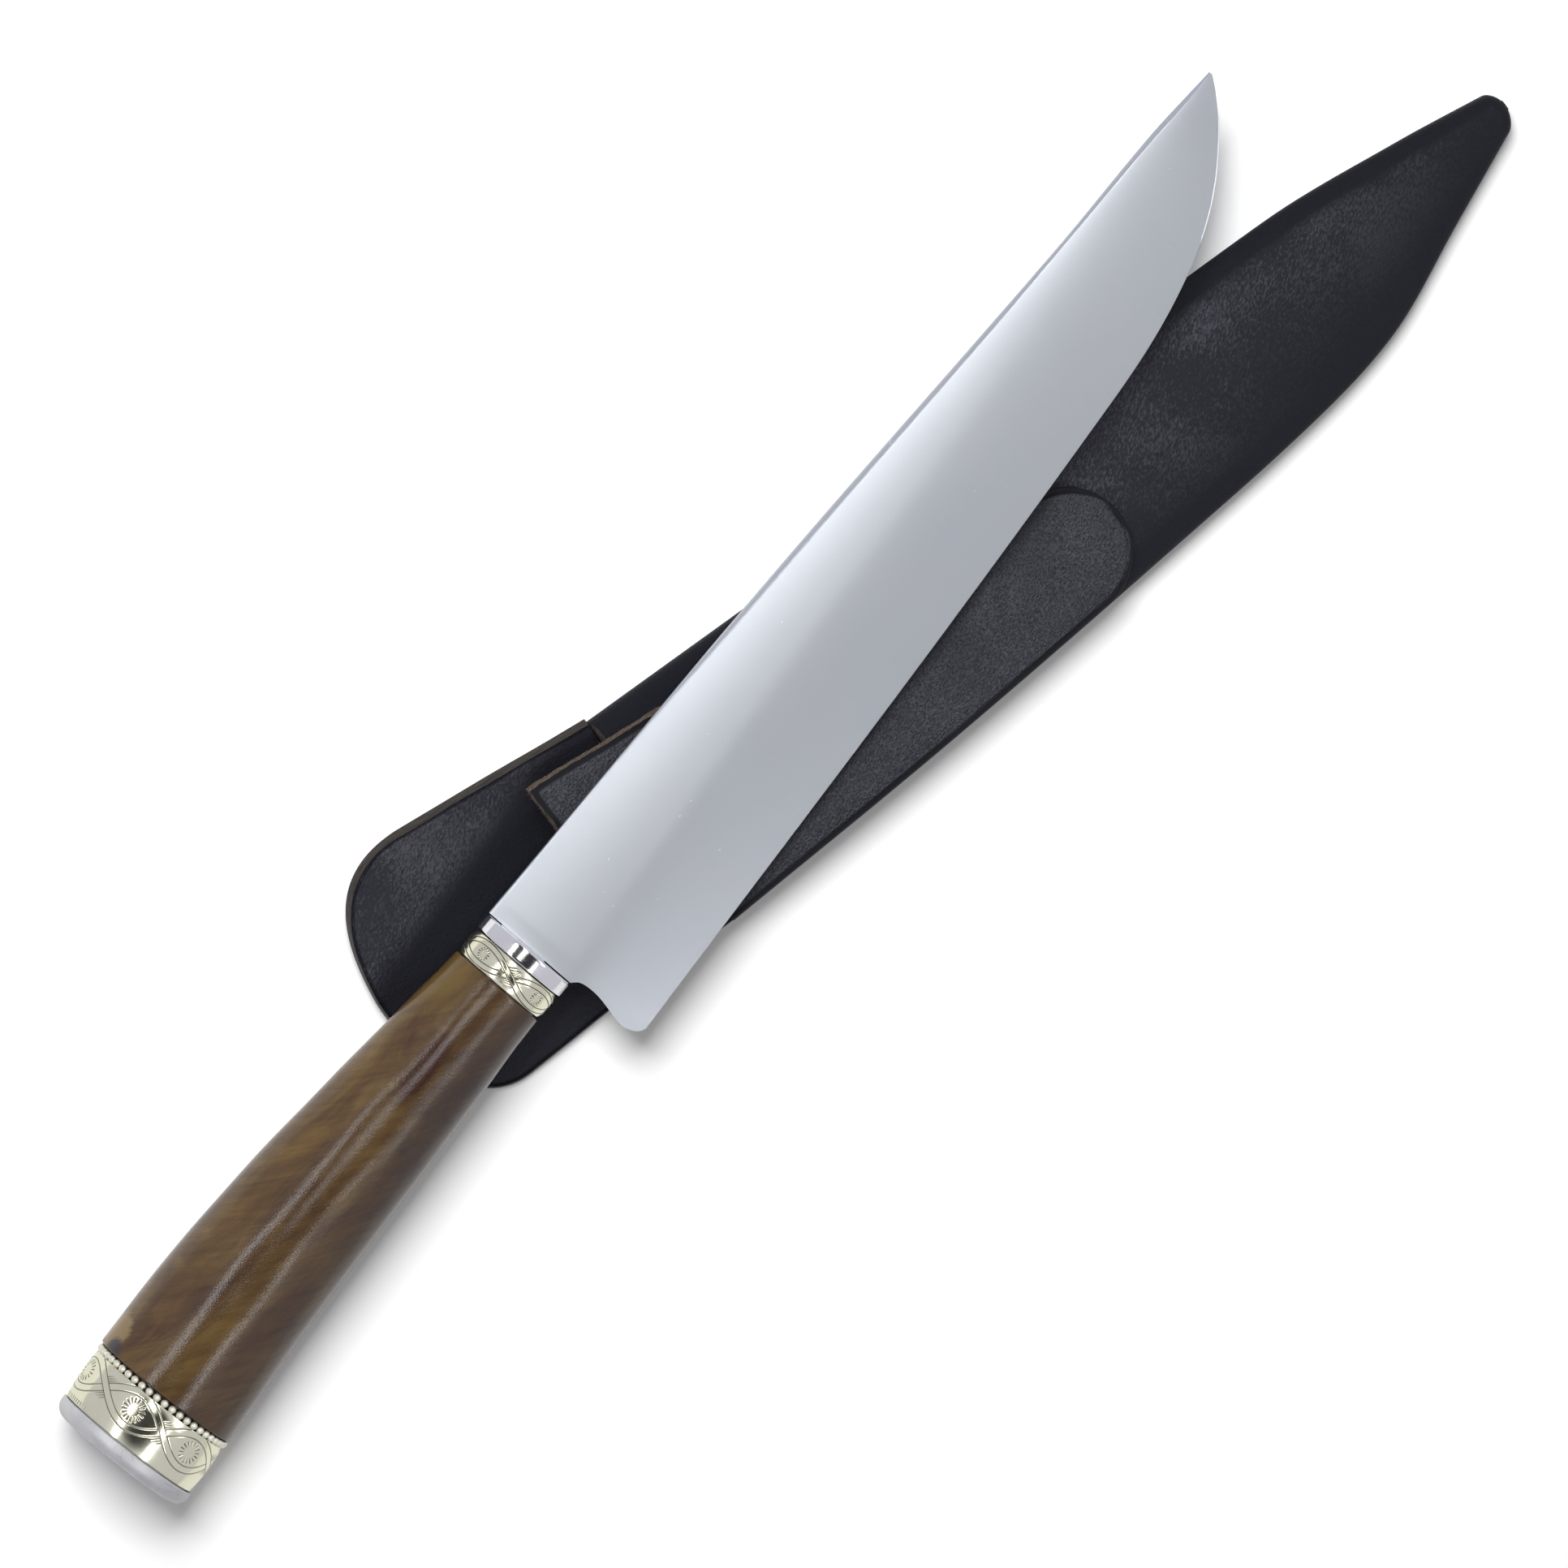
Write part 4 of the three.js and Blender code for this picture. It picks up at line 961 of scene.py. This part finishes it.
def engraved_ferrule(
    name, node, start, end, around, fine, lens_count, first, shift, reach, half, petals, nicked,
):
    """A thin sleeve with its outside engraved between two plain rims, of so many faces around and fine rings.
    The lenses start first millimetres round from the top, on a line shift millimetres behind the middle.
    Nicked is 1 for a sleeve with a row of nicks along its back rim, and 0 for one without."""
    stations = [(start, -FERRULE_WALL), (start, -FERRULE_EASE), (start + FERRULE_EASE, 0.0)]
    stations += [(s, 0.0) for s in np.linspace(start + FERRULE_RIM, end - FERRULE_RIM, fine)]
    stations += [(end - FERRULE_EASE, 0.0), (end, -FERRULE_EASE), (end, -FERRULE_WALL)]
    wide, thick = handle_halves(np.array([(start + end) / 2]))
    # Distance round the oval from the spine side, for each small turn
    turns = np.linspace(0, 2 * np.pi, 2001)
    steps = np.hypot(np.diff(wide * np.cos(turns)), np.diff(thick * np.sin(turns)))
    walk = np.concatenate([[0], np.cumsum(steps)])
    lens = walk[-1] / lens_count
    top = np.interp(np.pi / 2, turns, walk)
    middle = (start + end) / 2 + shift

    def barrel(s):
        """How far the sleeve draws in toward its two ends."""
        part = np.where(s > middle, (s - middle) / (end - middle), (middle - s) / (middle - start))
        return -FERRULE_BARREL * np.clip((part - BARREL_FLAT) / (1 - BARREL_FLAT), 0, 1) ** 2

    def depth_at(s, turn):
        v = top - np.interp(turn % (2 * np.pi), turns, walk) - first + 10 * lens_count * lens
        cut = engraving(s - middle, v, lens, reach, half, petals)
        # The nicks are worn away but on the spine side
        left = nicked * smooth(np.cos(turn), *NICKS_WORN)
        aside = (v + NICK_PITCH / 2) % NICK_PITCH - NICK_PITCH / 2
        nick = stroke(aside, NICK_CUT[0], NICK_CUT[1] * left)
        in_row = (end - s > NICK_ROW[0]) & (end - s < NICK_ROW[1])
        cut = np.where(in_row, np.minimum(cut, nick), cut)
        rim = np.minimum(s - start, end - s)
        return np.where(rim > FERRULE_RIM, cut, 0)

    def shape(s, turn, grow):
        outside = depth_at(s, turn) + barrel(s)
        return oval(s, turn, np.where(grow < 0, grow - FERRULE_BARREL, outside))

    piece = turned(name, stations, around, shape)
    # Tarnish follows the cuts
    grid = points(piece)
    s = -grid[:, 0]
    centre = AXIS_RISE * axis_rise(s / HANDLE_LENGTH)
    s = s + (grid[:, 1] - centre) * handle_lean(s)
    turn = np.arctan2(grid[:, 2] / thick, (grid[:, 1] - centre) / wide)
    cut = np.clip(-depth_at(s, turn) / TARNISH_DEPTH, 0, 1)
    inner = np.hypot(grid[:, 2] / thick, (grid[:, 1] - centre) / wide) < 0.93
    cut[inner] = 0.3
    mark(piece, "cut", cut)
    close_ends(piece, bridge=True)
    settle(piece, "knife", [ALPACA], node)


def pommel_cap():
    stations = [(CAP_START - 3.5, -TENON_INSET), (CAP_START, -TENON_INSET)]
    stations += [(CAP_START, -0.2), (CAP_START + 0.2, 0.0)]
    stations += rounded_corner(CAP_START, HANDLE_LENGTH, CAP_ROUND, 12)
    piece = turned("butt_cap", stations, 160)
    close_ends(piece, bridge=False)
    settle(piece, "knife", [SATIN], "pommel_cap")


# Sheath shell
spine_side = through([(0, 0.488), (0.3, 0.47), (0.76, 0.472), (0.9, 0.41), (1, 0.345)])
edge_side = through([
    (0, -0.498), (0.25, -0.445), (0.5, -0.366), (0.7, -0.285), (0.8, -0.195), (0.9, 0), (1, 0.195),
])


def shell_section(x, inset):
    """Centre, half width, middle height and half height of the sheath at a distance from the mouth."""
    share = np.clip(x / SHEATH_LENGTH, 0, 1)
    upper = MOUTH_WIDTH * spine_side(share)
    lower = MOUTH_WIDTH * edge_side(share)
    height = lerp(MOUTH_HEIGHT, TIP_HEIGHT, smooth(share, 0.1, 0.95)) + UNDERSIDE_FLAT
    from_end = np.clip((x - SHEATH_LENGTH + TIP_ROUND) / TIP_ROUND, 0, 0.95)
    round_off = np.where(inset > 0, 1, np.sqrt(1 - from_end * from_end))
    half_width = round_off * (upper - lower) / 2 - inset
    half_height = (0.4 + 0.6 * round_off) * height / 2 - inset
    return (upper + lower) / 2, half_width, height / 2 - UNDERSIDE_FLAT, half_height


def section_height(across):
    """Height of the shell's rounded-square section, as a share of its half height."""
    return (1 - across ** SQUARENESS) ** (1 / SQUARENESS)


def shell_top(x, y):
    """Height of the shell's upper face."""
    centre, half_width, middle, half_height = shell_section(np.maximum(x, 0), np.zeros_like(x))
    across = np.minimum(np.abs(y - centre) / half_width, 1)
    return middle + half_height * section_height(across)


def seam_line(x):
    return shell_section(x, np.zeros_like(x))[0]


def sheath_shell():
    inner = [(x, LEATHER) for x in np.linspace(SHEATH_LENGTH - 2 * LEATHER, 0.5, 30)]
    rim = [(0.15, LEATHER - 0.2), (0.0, LEATHER - 0.6), (0.1, 0.9), (0.5, 0.45), (0.9, 0.1)]
    # The rings crowd together over the last few millimetres, where the tip rounds off
    last = 6
    outer = [(1.1, 0.0)] + [(x, 0.0) for x in np.linspace(1.6, SHEATH_LENGTH - last, 230)]
    outer += [(SHEATH_LENGTH - last + last * math.sin(math.pi / 2 * k / 14), 0.0) for k in range(1, 15)]
    stations = inner + rim + outer
    along, inset = np.array(stations).T

    def place(ring, turn):
        c, s = np.cos(turn), np.sin(turn)
        # The mouth is cut on the slope above, and square at the sides and below
        x = np.where(along[ring] < 1.5, along[ring] * smooth(s, 0.1, 0.6), along[ring])
        centre, half_width, middle, half_height = shell_section(x, inset[ring])
        y = centre + half_width * np.sign(c) * np.abs(c) ** (2 / SQUARENESS)
        z = middle + half_height * np.sign(s) * np.abs(s) ** (2 / SQUARENESS)
        z = np.maximum(z, 0)
        outside = inset[ring] == 0
        # The wrapped hide is not quite even
        upper = smooth(z, 2, 6) * outside * smooth(x, 2, 20)
        z = z + HIDE_WAVE * ripple(x, y, HIDE_WAVE_SIZE, 2) * upper
        # The seam along the back lies in a shallow channel
        channel = 1 - smooth(np.abs(y - seam_line(x)), SEAM_WIDTH / 2 - 0.4, SEAM_WIDTH / 2 + 0.4)
        channel = channel * smooth(x, SEAM_START - 1, SEAM_START + 1)
        channel = channel * (1 - smooth(x, SEAM_END - 1, SEAM_END + 1))
        z = z + SEAM_DEPTH * channel * outside * (s < 0) * (z < 1)
        return x, y, z

    def finish(ring):
        if ring < len(inner) - 1:
            return 1
        return 2 if ring < len(inner) + len(rim) else 0

    piece = rolled("shell_leather", len(stations), 180, place, finish)
    close_ends(piece, bridge=False)
    settle(piece, "sheath", [SHELL_LEATHER, RAW, EDGE], "sheath_shell")


# Mouth panel
def tail_floor():
    """Height at which the panel's tail lies on the inside of the shell."""
    _, half_width, middle, half_height = shell_section(np.array([0.0]), np.array([LEATHER]))
    inside = middle - half_height * section_height(TAIL_WIDTH / 2 / half_width)
    return float(inside[0]) + FIT_GAP


def bezier(a, b, c, d, share):
    share = share[:, None]
    rest = 1 - share
    return rest ** 3 * a + 3 * rest ** 2 * share * b + 3 * rest * share ** 2 * c + share ** 3 * d


def panel_outline():
    """The panel's free outline, from the shoulder on the spine side round to the one on the edge side."""
    shoulders = MOUTH_WIDTH * np.array([spine_side(0), edge_side(0)]) + 1
    length, upper, lower = PANEL_LENGTH, PANEL_SPINE_SIDE, PANEL_EDGE_SIDE
    first = np.array([-PANEL_GAP, shoulders[0]])
    second = np.array([-0.65 * length, upper])
    third = np.array([-length, 0.12 * upper])
    fourth = np.array([-0.75 * length, -lower])
    last = np.array([-PANEL_GAP, shoulders[1]])
    share = np.linspace(0, 1, 80)
    out_of_second = np.array([-0.88 * length, upper + 1])
    into_third = np.array([-0.97 * length, 0.7 * upper])
    out_of_third = np.array([-1.01 * length, -0.47 * lower])
    into_fourth = np.array([-0.94 * length, -1.02 * lower])
    corner = bezier(second, out_of_second, into_third, third, share)
    heel = bezier(third, out_of_third, into_fourth, fourth, share)
    path = np.concatenate([[first], corner, heel[1:], [last]])
    walk = np.concatenate([[0], np.cumsum(np.hypot(*np.diff(path, axis=0).T))])
    even = np.linspace(0, walk[-1], 240)
    return np.stack([np.interp(even, walk, path[:, 0]), np.interp(even, walk, path[:, 1])], axis=1)


def mouth_panel():
    outline = panel_outline()
    mouth_side = np.linspace(outline[-1], outline[0], 62)[1:-1]
    loop = np.concatenate([outline, mouth_side])
    count = len(loop)
    heart = np.array([-0.45 * PANEL_LENGTH, 0.0])
    steps = np.concatenate([np.linspace(0, 0.06, 16), np.linspace(0.07, 0.3, 16), np.linspace(0.33, 1, 22)])
    before = np.roll(outline, 1, axis=0)
    before[0] = outline[0]
    after = np.roll(outline, -1, axis=0)
    after[-1] = outline[-1]
    inward = np.stack([before[:, 1] - after[:, 1], after[:, 0] - before[:, 0]], axis=1)
    inward = inward / np.hypot(*inward.T)[:, None]
    # The cut edge slopes, so the upper face is smaller than the lower one
    upper_rim = smooth(-inward[:, 1], -0.7, 0.9)
    edge_width = lerp(EDGE_NARROW, EDGE_WIDE, smooth(-inward[:, 1], 0.1, 0.95))
    edge_width = edge_width * (1 + 0.15 * ripple(outline[:, 0], outline[:, 1], 17, 6))
    face = outline + inward * edge_width[:, None]
    face[:, 0] = np.minimum(face[:, 0], -PANEL_GAP)
    face_loop = np.concatenate([face, np.linspace(face[-1], face[0], 62)[1:-1]])
    rings = 2 * len(steps)
    tail_height = tail_floor()

    def place(ring, turn):
        spot = np.rint(turn / (2 * np.pi) * count).astype(int) % count
        above = ring >= len(steps)
        share = steps[np.where(above, ring - len(steps), len(steps) - 1 - ring)]
        border = np.where(above[:, None], face_loop[spot], loop[spot])
        plan = lerp(border, heart, share[:, None])
        gaps = np.hypot(plan[:, 0, None] - outline[None, :, 0], plan[:, 1, None] - outline[None, :, 1])
        near = np.argmin(gaps, axis=1)
        gap = gaps[np.arange(len(near)), near]
        x, y = plan.T
        roll = np.clip(1 - gap / RIM_ROLL, 0, 1)
        z = tail_height * smooth(x, -TAIL_RISE_LENGTH, -TAIL_RISE_LENGTH / 4)
        z = z + lerp(RIM_LOW, RIM_HEIGHT, upper_rim[near]) * roll * roll
        # The hide lies a little wavy, least where it goes into the mouth
        wave = PANEL_WAVE * (1 + ripple(x, y, PANEL_WAVE_SIZE, 5)) * smooth(-x, 4, 20) * (1 - roll)
        inside = gap - edge_width[near]
        crease = CREASE_DEPTH * np.clip(1 - np.abs(inside - CREASE) / CREASE_HALF, 0, 1)
        lip = LIP_HEIGHT * np.clip(1 - np.abs(inside - LIP) / LIP_HALF, 0, 1)
        z = z + np.where(above, PANEL_THICKNESS + wave - crease + lip, 0)
        return x, y, z

    def finish(ring):
        if ring == len(steps) - 1:
            return 1
        return 0 if ring >= len(steps) else 2

    piece = rolled("panel_leather", rings, count, place, finish)
    face_outward(piece)
    bpy.ops.object.mode_set(mode="EDIT")
    bpy.ops.mesh.select_mode(type="FACE")
    bpy.ops.mesh.select_all(action="DESELECT")
    # The tail is drawn out of the mouth side and runs into the shell
    shape = bmesh.from_edit_mesh(piece.data)
    middle = float(seam_line(np.array([0.0]))[0])
    for face in shape.faces:
        centre = face.calc_center_median()
        at_mouth = centre.x > -0.4 and face.normal.x > 0.9
        face.select_set(at_mouth and abs(centre.y - middle) < TAIL_WIDTH / 2)
    bmesh.update_edit_mesh(piece.data)
    bpy.ops.mesh.extrude_region_move(TRANSFORM_OT_translate={"value": (TAIL_LENGTH + FIT_GAP, 0, 0)})
    bpy.ops.object.mode_set(mode="OBJECT")
    soften = piece.modifiers.new("soft_edges", "BEVEL")
    soften.width = PANEL_SOFT_EDGE
    soften.segments = 3
    soften.limit_method = "ANGLE"
    soften.angle_limit = math.radians(40)
    bpy.ops.object.modifier_apply(modifier=soften.name)
    settle(piece, "sheath", [PANEL_LEATHER, EDGE, RAW], "mouth_panel")


# Belt tongue
def tongue_span(x):
    """The tongue's two long edges at a distance from the mouth."""
    round_start = TONGUE_REACH - TONGUE_END_WIDTH / 2
    along = np.clip((x + TONGUE_OVERHANG) / (round_start + TONGUE_OVERHANG), 0, 1)
    width = lerp(TONGUE_ROOT_WIDTH, TONGUE_END_WIDTH, along ** TONGUE_TAPER)
    past = np.clip((x - round_start) / (TONGUE_REACH - round_start), 0, 0.995)
    half = width / 2 * np.sqrt(1 - past * past)
    centre, half_width, _, _ = shell_section(np.clip(x, 0, round_start), np.zeros_like(x))
    middle = centre - half_width + TONGUE_INSET + width / 2
    return middle - half, middle + half


def fray(piece):
    """Loose fibres along the tongue's root and its spine side, one of them made and copied."""
    draw = np.random.default_rng(7)
    bpy.ops.mesh.primitive_cone_add(vertices=4, radius1=FIBRE_RADIUS, radius2=0.02, depth=1)
    fibre = named("fibre")
    put(fibre, points(fibre) + np.array([0, 0, 0.5]))
    # Joining keeps each face's finish only where the finishes are there already
    for tuft in (piece, fibre):
        tuft.data.materials.append(PEBBLED)
        tuft.data.materials.append(RAW)
    for face in fibre.data.polygons:
        face.material_index = 1
    root = -TONGUE_OVERHANG
    root_low, root_high = tongue_span(np.array([root]))
    places = []
    for k in range(FIBRES):
        height = draw.random()
        if draw.random() < FIBRES_AT_ROOT:
            spot = np.array([root + height * SKIVE, lerp(root_low[0], root_high[0] - 1, draw.random())])
            outward = np.array([-1.0, 0.0])
        else:
            x = lerp(root, TONGUE_REACH - TONGUE_END_WIDTH, draw.random())
            spot = np.array([x, tongue_span(np.array([x]))[1][0] - height * SKIVE])
            outward = np.array([0.0, 1.0])
        z = float(shell_top(spot[:1], spot[1:])[0]) + FIT_GAP + height * TONGUE_THICKNESS
        aside = draw.uniform(-1.2, 1.2) * np.array([outward[1], -outward[0]])
        aim = Vector((*(outward * draw.uniform(0.3, 1.0) + aside), draw.uniform(-0.5, 0.25)))
        places.append(Matrix.LocRotScale(
            Vector((*(spot - 0.1 * outward), z)),
            aim.to_track_quat("Z", "Y"),
            Vector((1, 1, draw.uniform(0.25, 0.75))),
        ))
    join_copies(piece, fibre, places)


def ragged(along, depth, size, seed):
    """How far a hand-cut edge wanders, in long waves of a depth and size with short ones on them."""
    return depth * ripple(along, 0 * along, size, seed) + RAG * ripple(along, 0 * along, RAG_SIZE, seed + 5)


def belt_tongue():
    piece = flat_grid("tongue_leather", 240, 70)
    grid = points(piece)
    along = np.sin(np.pi / 2 * (grid[:, 0] + 0.5))
    across = np.sin(np.pi * grid[:, 1]) / 2 + 0.5

    def lay(skive, seed):
        """One face of the tongue. Its root and its spine side are cut on the slope and left raw."""
        x = lerp(-TONGUE_OVERHANG + skive, TONGUE_REACH, along)
        low, high = tongue_span(x)
        straight = 1 - smooth(x, TONGUE_REACH - TONGUE_END_WIDTH, TONGUE_REACH - TONGUE_END_WIDTH / 2)
        y = lerp(low, high + (ragged(x, 0.2, 5, seed) - skive) * straight, across)
        root = 1 - smooth(x, skive - TONGUE_OVERHANG, skive - TONGUE_OVERHANG + 1.5)
        x = x + root * ragged(y, 0.22, 6, seed + 1)
        # Near the edge it stands straight out over the shell's round shoulder
        centre, half_width, _, _ = shell_section(np.clip(x, 0, SHEATH_LENGTH), np.zeros_like(x))
        return x, y, shell_top(x, np.maximum(y, centre - half_width + TONGUE_SHOULDER)) + FIT_GAP

    top = np.stack(lay(SKIVE, 3), axis=1)
    # Distance in from the border, for the finish
    low, high = tongue_span(top[:, 0])
    raw_side = np.minimum(high - SKIVE - top[:, 1], top[:, 0] + TONGUE_OVERHANG - SKIVE)
    rim = np.minimum(np.minimum(top[:, 1] - low, raw_side), TONGUE_REACH - top[:, 0])
    # The dyed edge and the end are rounded, with a groove pressed beside them
    round_start = TONGUE_REACH - TONGUE_END_WIDTH / 2
    past = np.clip(top[:, 0] - round_start, 0, None)
    from_middle = np.hypot(past, top[:, 1] - (low + high) / 2)
    from_end = np.where(past > 0, TONGUE_END_WIDTH / 2 - from_middle, np.inf)
    from_dyed = np.minimum(from_end, np.where(past > 0, np.inf, top[:, 1] - low))
    groove = TONGUE_GROOVE * np.clip(1 - np.abs(from_dyed - GROOVE_INSET) / GROOVE_HALF, 0, 1)
    corner = 1 - np.clip(from_dyed / TONGUE_ROUND, 0, 1)
    top[:, 2] += TONGUE_THICKNESS - groove - TONGUE_ROUND * (1 - np.sqrt(1 - corner * corner))
    put(piece, top)
    mark(piece, "rim", rim)
    under = thicken(piece)
    places = points(piece)
    places[under] = np.stack(lay(0.0, 4), axis=1)
    put(piece, places)
    # The flesh side is raw, and so are the edges at the root and on the spine side
    for face in piece.data.polygons:
        outward = max(face.normal.y, -face.normal.x)
        raw_edge = outward > 0.7 and face.center.x < TONGUE_REACH - TONGUE_END_WIDTH
        face.material_index = 1 if face.normal.z < -0.8 or raw_edge else 0
    fray(piece)
    settle(piece, "sheath", [PEBBLED, RAW], "belt_tongue")


# Seam lace
def seam_lace():
    start = SEAM_START + SEAM_WIDTH / 2
    crossings = int((SEAM_END - start - SEAM_WIDTH / 2) / (LACE_PITCH / 2))
    bpy.ops.curve.primitive_nurbs_path_add()
    lace = bpy.context.object
    lace.name = "lace"
    path = lace.data
    path.splines.clear()
    line = path.splines.new("BEZIER")
    line.bezier_points.add(crossings)
    for k, point in enumerate(line.bezier_points):
        x = start + k * LACE_PITCH / 2
        swing = LACE_SWING / 2 if k % 2 == 0 else -LACE_SWING / 2
        y = float(seam_line(np.array([x]))[0]) + swing
        point.co = (x, y, SEAM_DEPTH - FIT_GAP - LACE_DIAMETER / 2)
        point.handle_left_type = "AUTO"
        point.handle_right_type = "AUTO"
    path.bevel_depth = LACE_DIAMETER / 2
    path.bevel_resolution = 3
    path.resolution_u = 6
    path.use_fill_caps = True
    bpy.ops.object.convert(target="MESH")
    piece = named("lace")
    settle(piece, "sheath", [LACE], "seam_lace")


# Making the pieces, front to back, knife first
blade()
front_bolster()
engraved_ferrule(
    "front_ferrule_engraved", "front_ferrule", FERRULE_START, GRIP_START - FIT_GAP, around=600, fine=66,
    lens_count=4, first=0.0, shift=0.0, reach=2.35, half=0.6, petals=13, nicked=0.0,
)
grip()
rear_bead_ring()
engraved_ferrule(
    "rear_ferrule_engraved", "rear_ferrule", REAR_FERRULE_START, REAR_FERRULE_END, around=780, fine=96,
    lens_count=6, first=13.6, shift=-1.5, reach=4.1, half=0.8, petals=16, nicked=1.0,
)
pommel_cap()
sheath_shell()
mouth_panel()
belt_tongue()
seam_lace()

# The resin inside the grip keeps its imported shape
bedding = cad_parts["tang_bedding"]
bedding.data.materials.clear()
bedding.data.materials.append(RESIN)


# Floor: white paper that keeps the shadows
def floor():
    bpy.ops.mesh.primitive_plane_add(size=6, location=(0, 0, -0.0002))
    sheet = named("floor")
    material = bpy.data.materials.new("white_paper")
    material.use_nodes = True
    tree = material.node_tree
    tree.nodes.remove(tree.nodes["Principled BSDF"])
    paper = add(tree, "BsdfDiffuse", {}, {"Color": (0.92, 0.92, 0.92, 1.0)})
    camera_ray = add(tree, "LightPath", {}, {}, "Is Camera Ray")
    glow = add(tree, "Emission", {}, {"Color": (0.16, 0.16, 0.16, 1.0), "Strength": camera_ray})
    white = add(tree, "AddShader", {}, {0: paper, 1: glow})
    fill(tree, tree.nodes["Material Output"], {"Surface": white})
    sheet.data.materials.append(material)


# Studio: pale walls under a dark ceiling, a soft key lamp, and strip lamps along the handle and the blade
def studio():
    world = bpy.data.worlds.new("studio")
    world.use_nodes = True
    bpy.context.scene.world = world
    tree = world.node_tree
    back = tree.nodes["Background"]
    direction = add(tree, "TexCoord", {}, {}, "Generated")
    upward = add(tree, "SeparateXYZ", {}, {"Vector": direction}, "Z")
    height = add(tree, "MapRange", SOFT_STEP, {"Value": upward, "From Min": 0.87, "From Max": 0.945})
    room = add(tree, "Mix", COLOUR_MIX, {
        0: height, 6: (0.62, 0.62, 0.68, 1.0), 7: (0.025, 0.025, 0.03, 1.0),
    })
    glossy_ray = add(tree, "LightPath", {}, {}, "Is Glossy Ray")
    camera_ray = add(tree, "LightPath", {}, {}, "Is Camera Ray")
    shine = add(tree, "Mix", COLOUR_MIX, {0: glossy_ray, 6: (0.15, 0.15, 0.155, 1.0), 7: room})
    seen = add(tree, "Mix", COLOUR_MIX, {0: camera_ray, 6: shine, 7: (1.0, 1.0, 1.0, 1.0)})
    fill(tree, back, {"Color": seen})

    along = Vector((math.cos(KNIFE_YAW), math.sin(KNIFE_YAW), 0))
    beside = Vector((-math.sin(KNIFE_YAW), math.cos(KNIFE_YAW), 0))
    # Each lamp: its name, its angle from overhead in degrees, its distance, where its middle stands along
    # the knife, its length and width in metres, its power in watts, and whether it lights the pieces or
    # only shows in their shine
    lamps = (
        ("key_box", 25.0, 2.4, 0.62, 1.25, 1.2, 68.0, True),
        ("upper_handle_strip", 21.0, 1.2, -0.50, 0.95, 0.09, 2.2, False),
        ("lower_handle_strip", -23.0, 1.2, -0.64, 0.95, 0.11, 2.1, False),
        ("upper_blade_strip", 3.0, 1.2, 0.41, 1.06, 0.17, 2.6, False),
        ("lower_blade_strip", -33.0, 1.2, 0.45, 1.06, 0.17, 2.1, False),
    )
    for name, angle, far, middle, length, width, power, lights in lamps:
        away = math.cos(math.radians(angle)) * Vector((0, 0, 1)) + math.sin(math.radians(angle)) * beside
        lamp = bpy.data.lights.new(name, "AREA")
        lamp.shape = "RECTANGLE"
        lamp.size = length
        lamp.size_y = width
        lamp.energy = power
        stand = bpy.data.objects.new(name, lamp)
        bpy.context.collection.objects.link(stand)
        turn = Matrix((along, away.cross(along), away)).transposed()
        stand.matrix_world = Matrix.LocRotScale(far * away + middle * along, turn, None)
        stand.visible_diffuse = lights
        stand.visible_glossy = not lights


# Camera: above the knife, tipped a little to the spine side, and well back with a long lens
def camera():
    # The distance and the focal length grow together, which keeps the frame
    far_back = 2.2
    focal = 130.807
    lens = bpy.data.cameras.new("camera")
    lens.sensor_width = 36
    lens.lens = far_back * focal
    lens.clip_end = 20
    eye = bpy.data.objects.new("camera", lens)
    bpy.context.collection.objects.link(eye)
    target = Vector((-4.044, -11.821, 14.0)) * MM
    place = target + far_back * Vector((-42.472, 152.631, 1290.310)) * MM
    look = (target - place).normalized()
    flat_x = (Vector((1, 0, 0)) - look.x * look).normalized()
    flat_y = (-look).cross(flat_x)
    roll = math.radians(36.7)
    right = math.cos(roll) * flat_x - math.sin(roll) * flat_y
    up = math.sin(roll) * flat_x + math.cos(roll) * flat_y
    turn = Matrix((right, up, -look)).transposed()
    eye.matrix_world = Matrix.LocRotScale(place, turn, None)
    bpy.context.scene.camera = eye


floor()
studio()
camera()
bpy.context.scene.view_settings.view_transform = "Standard"
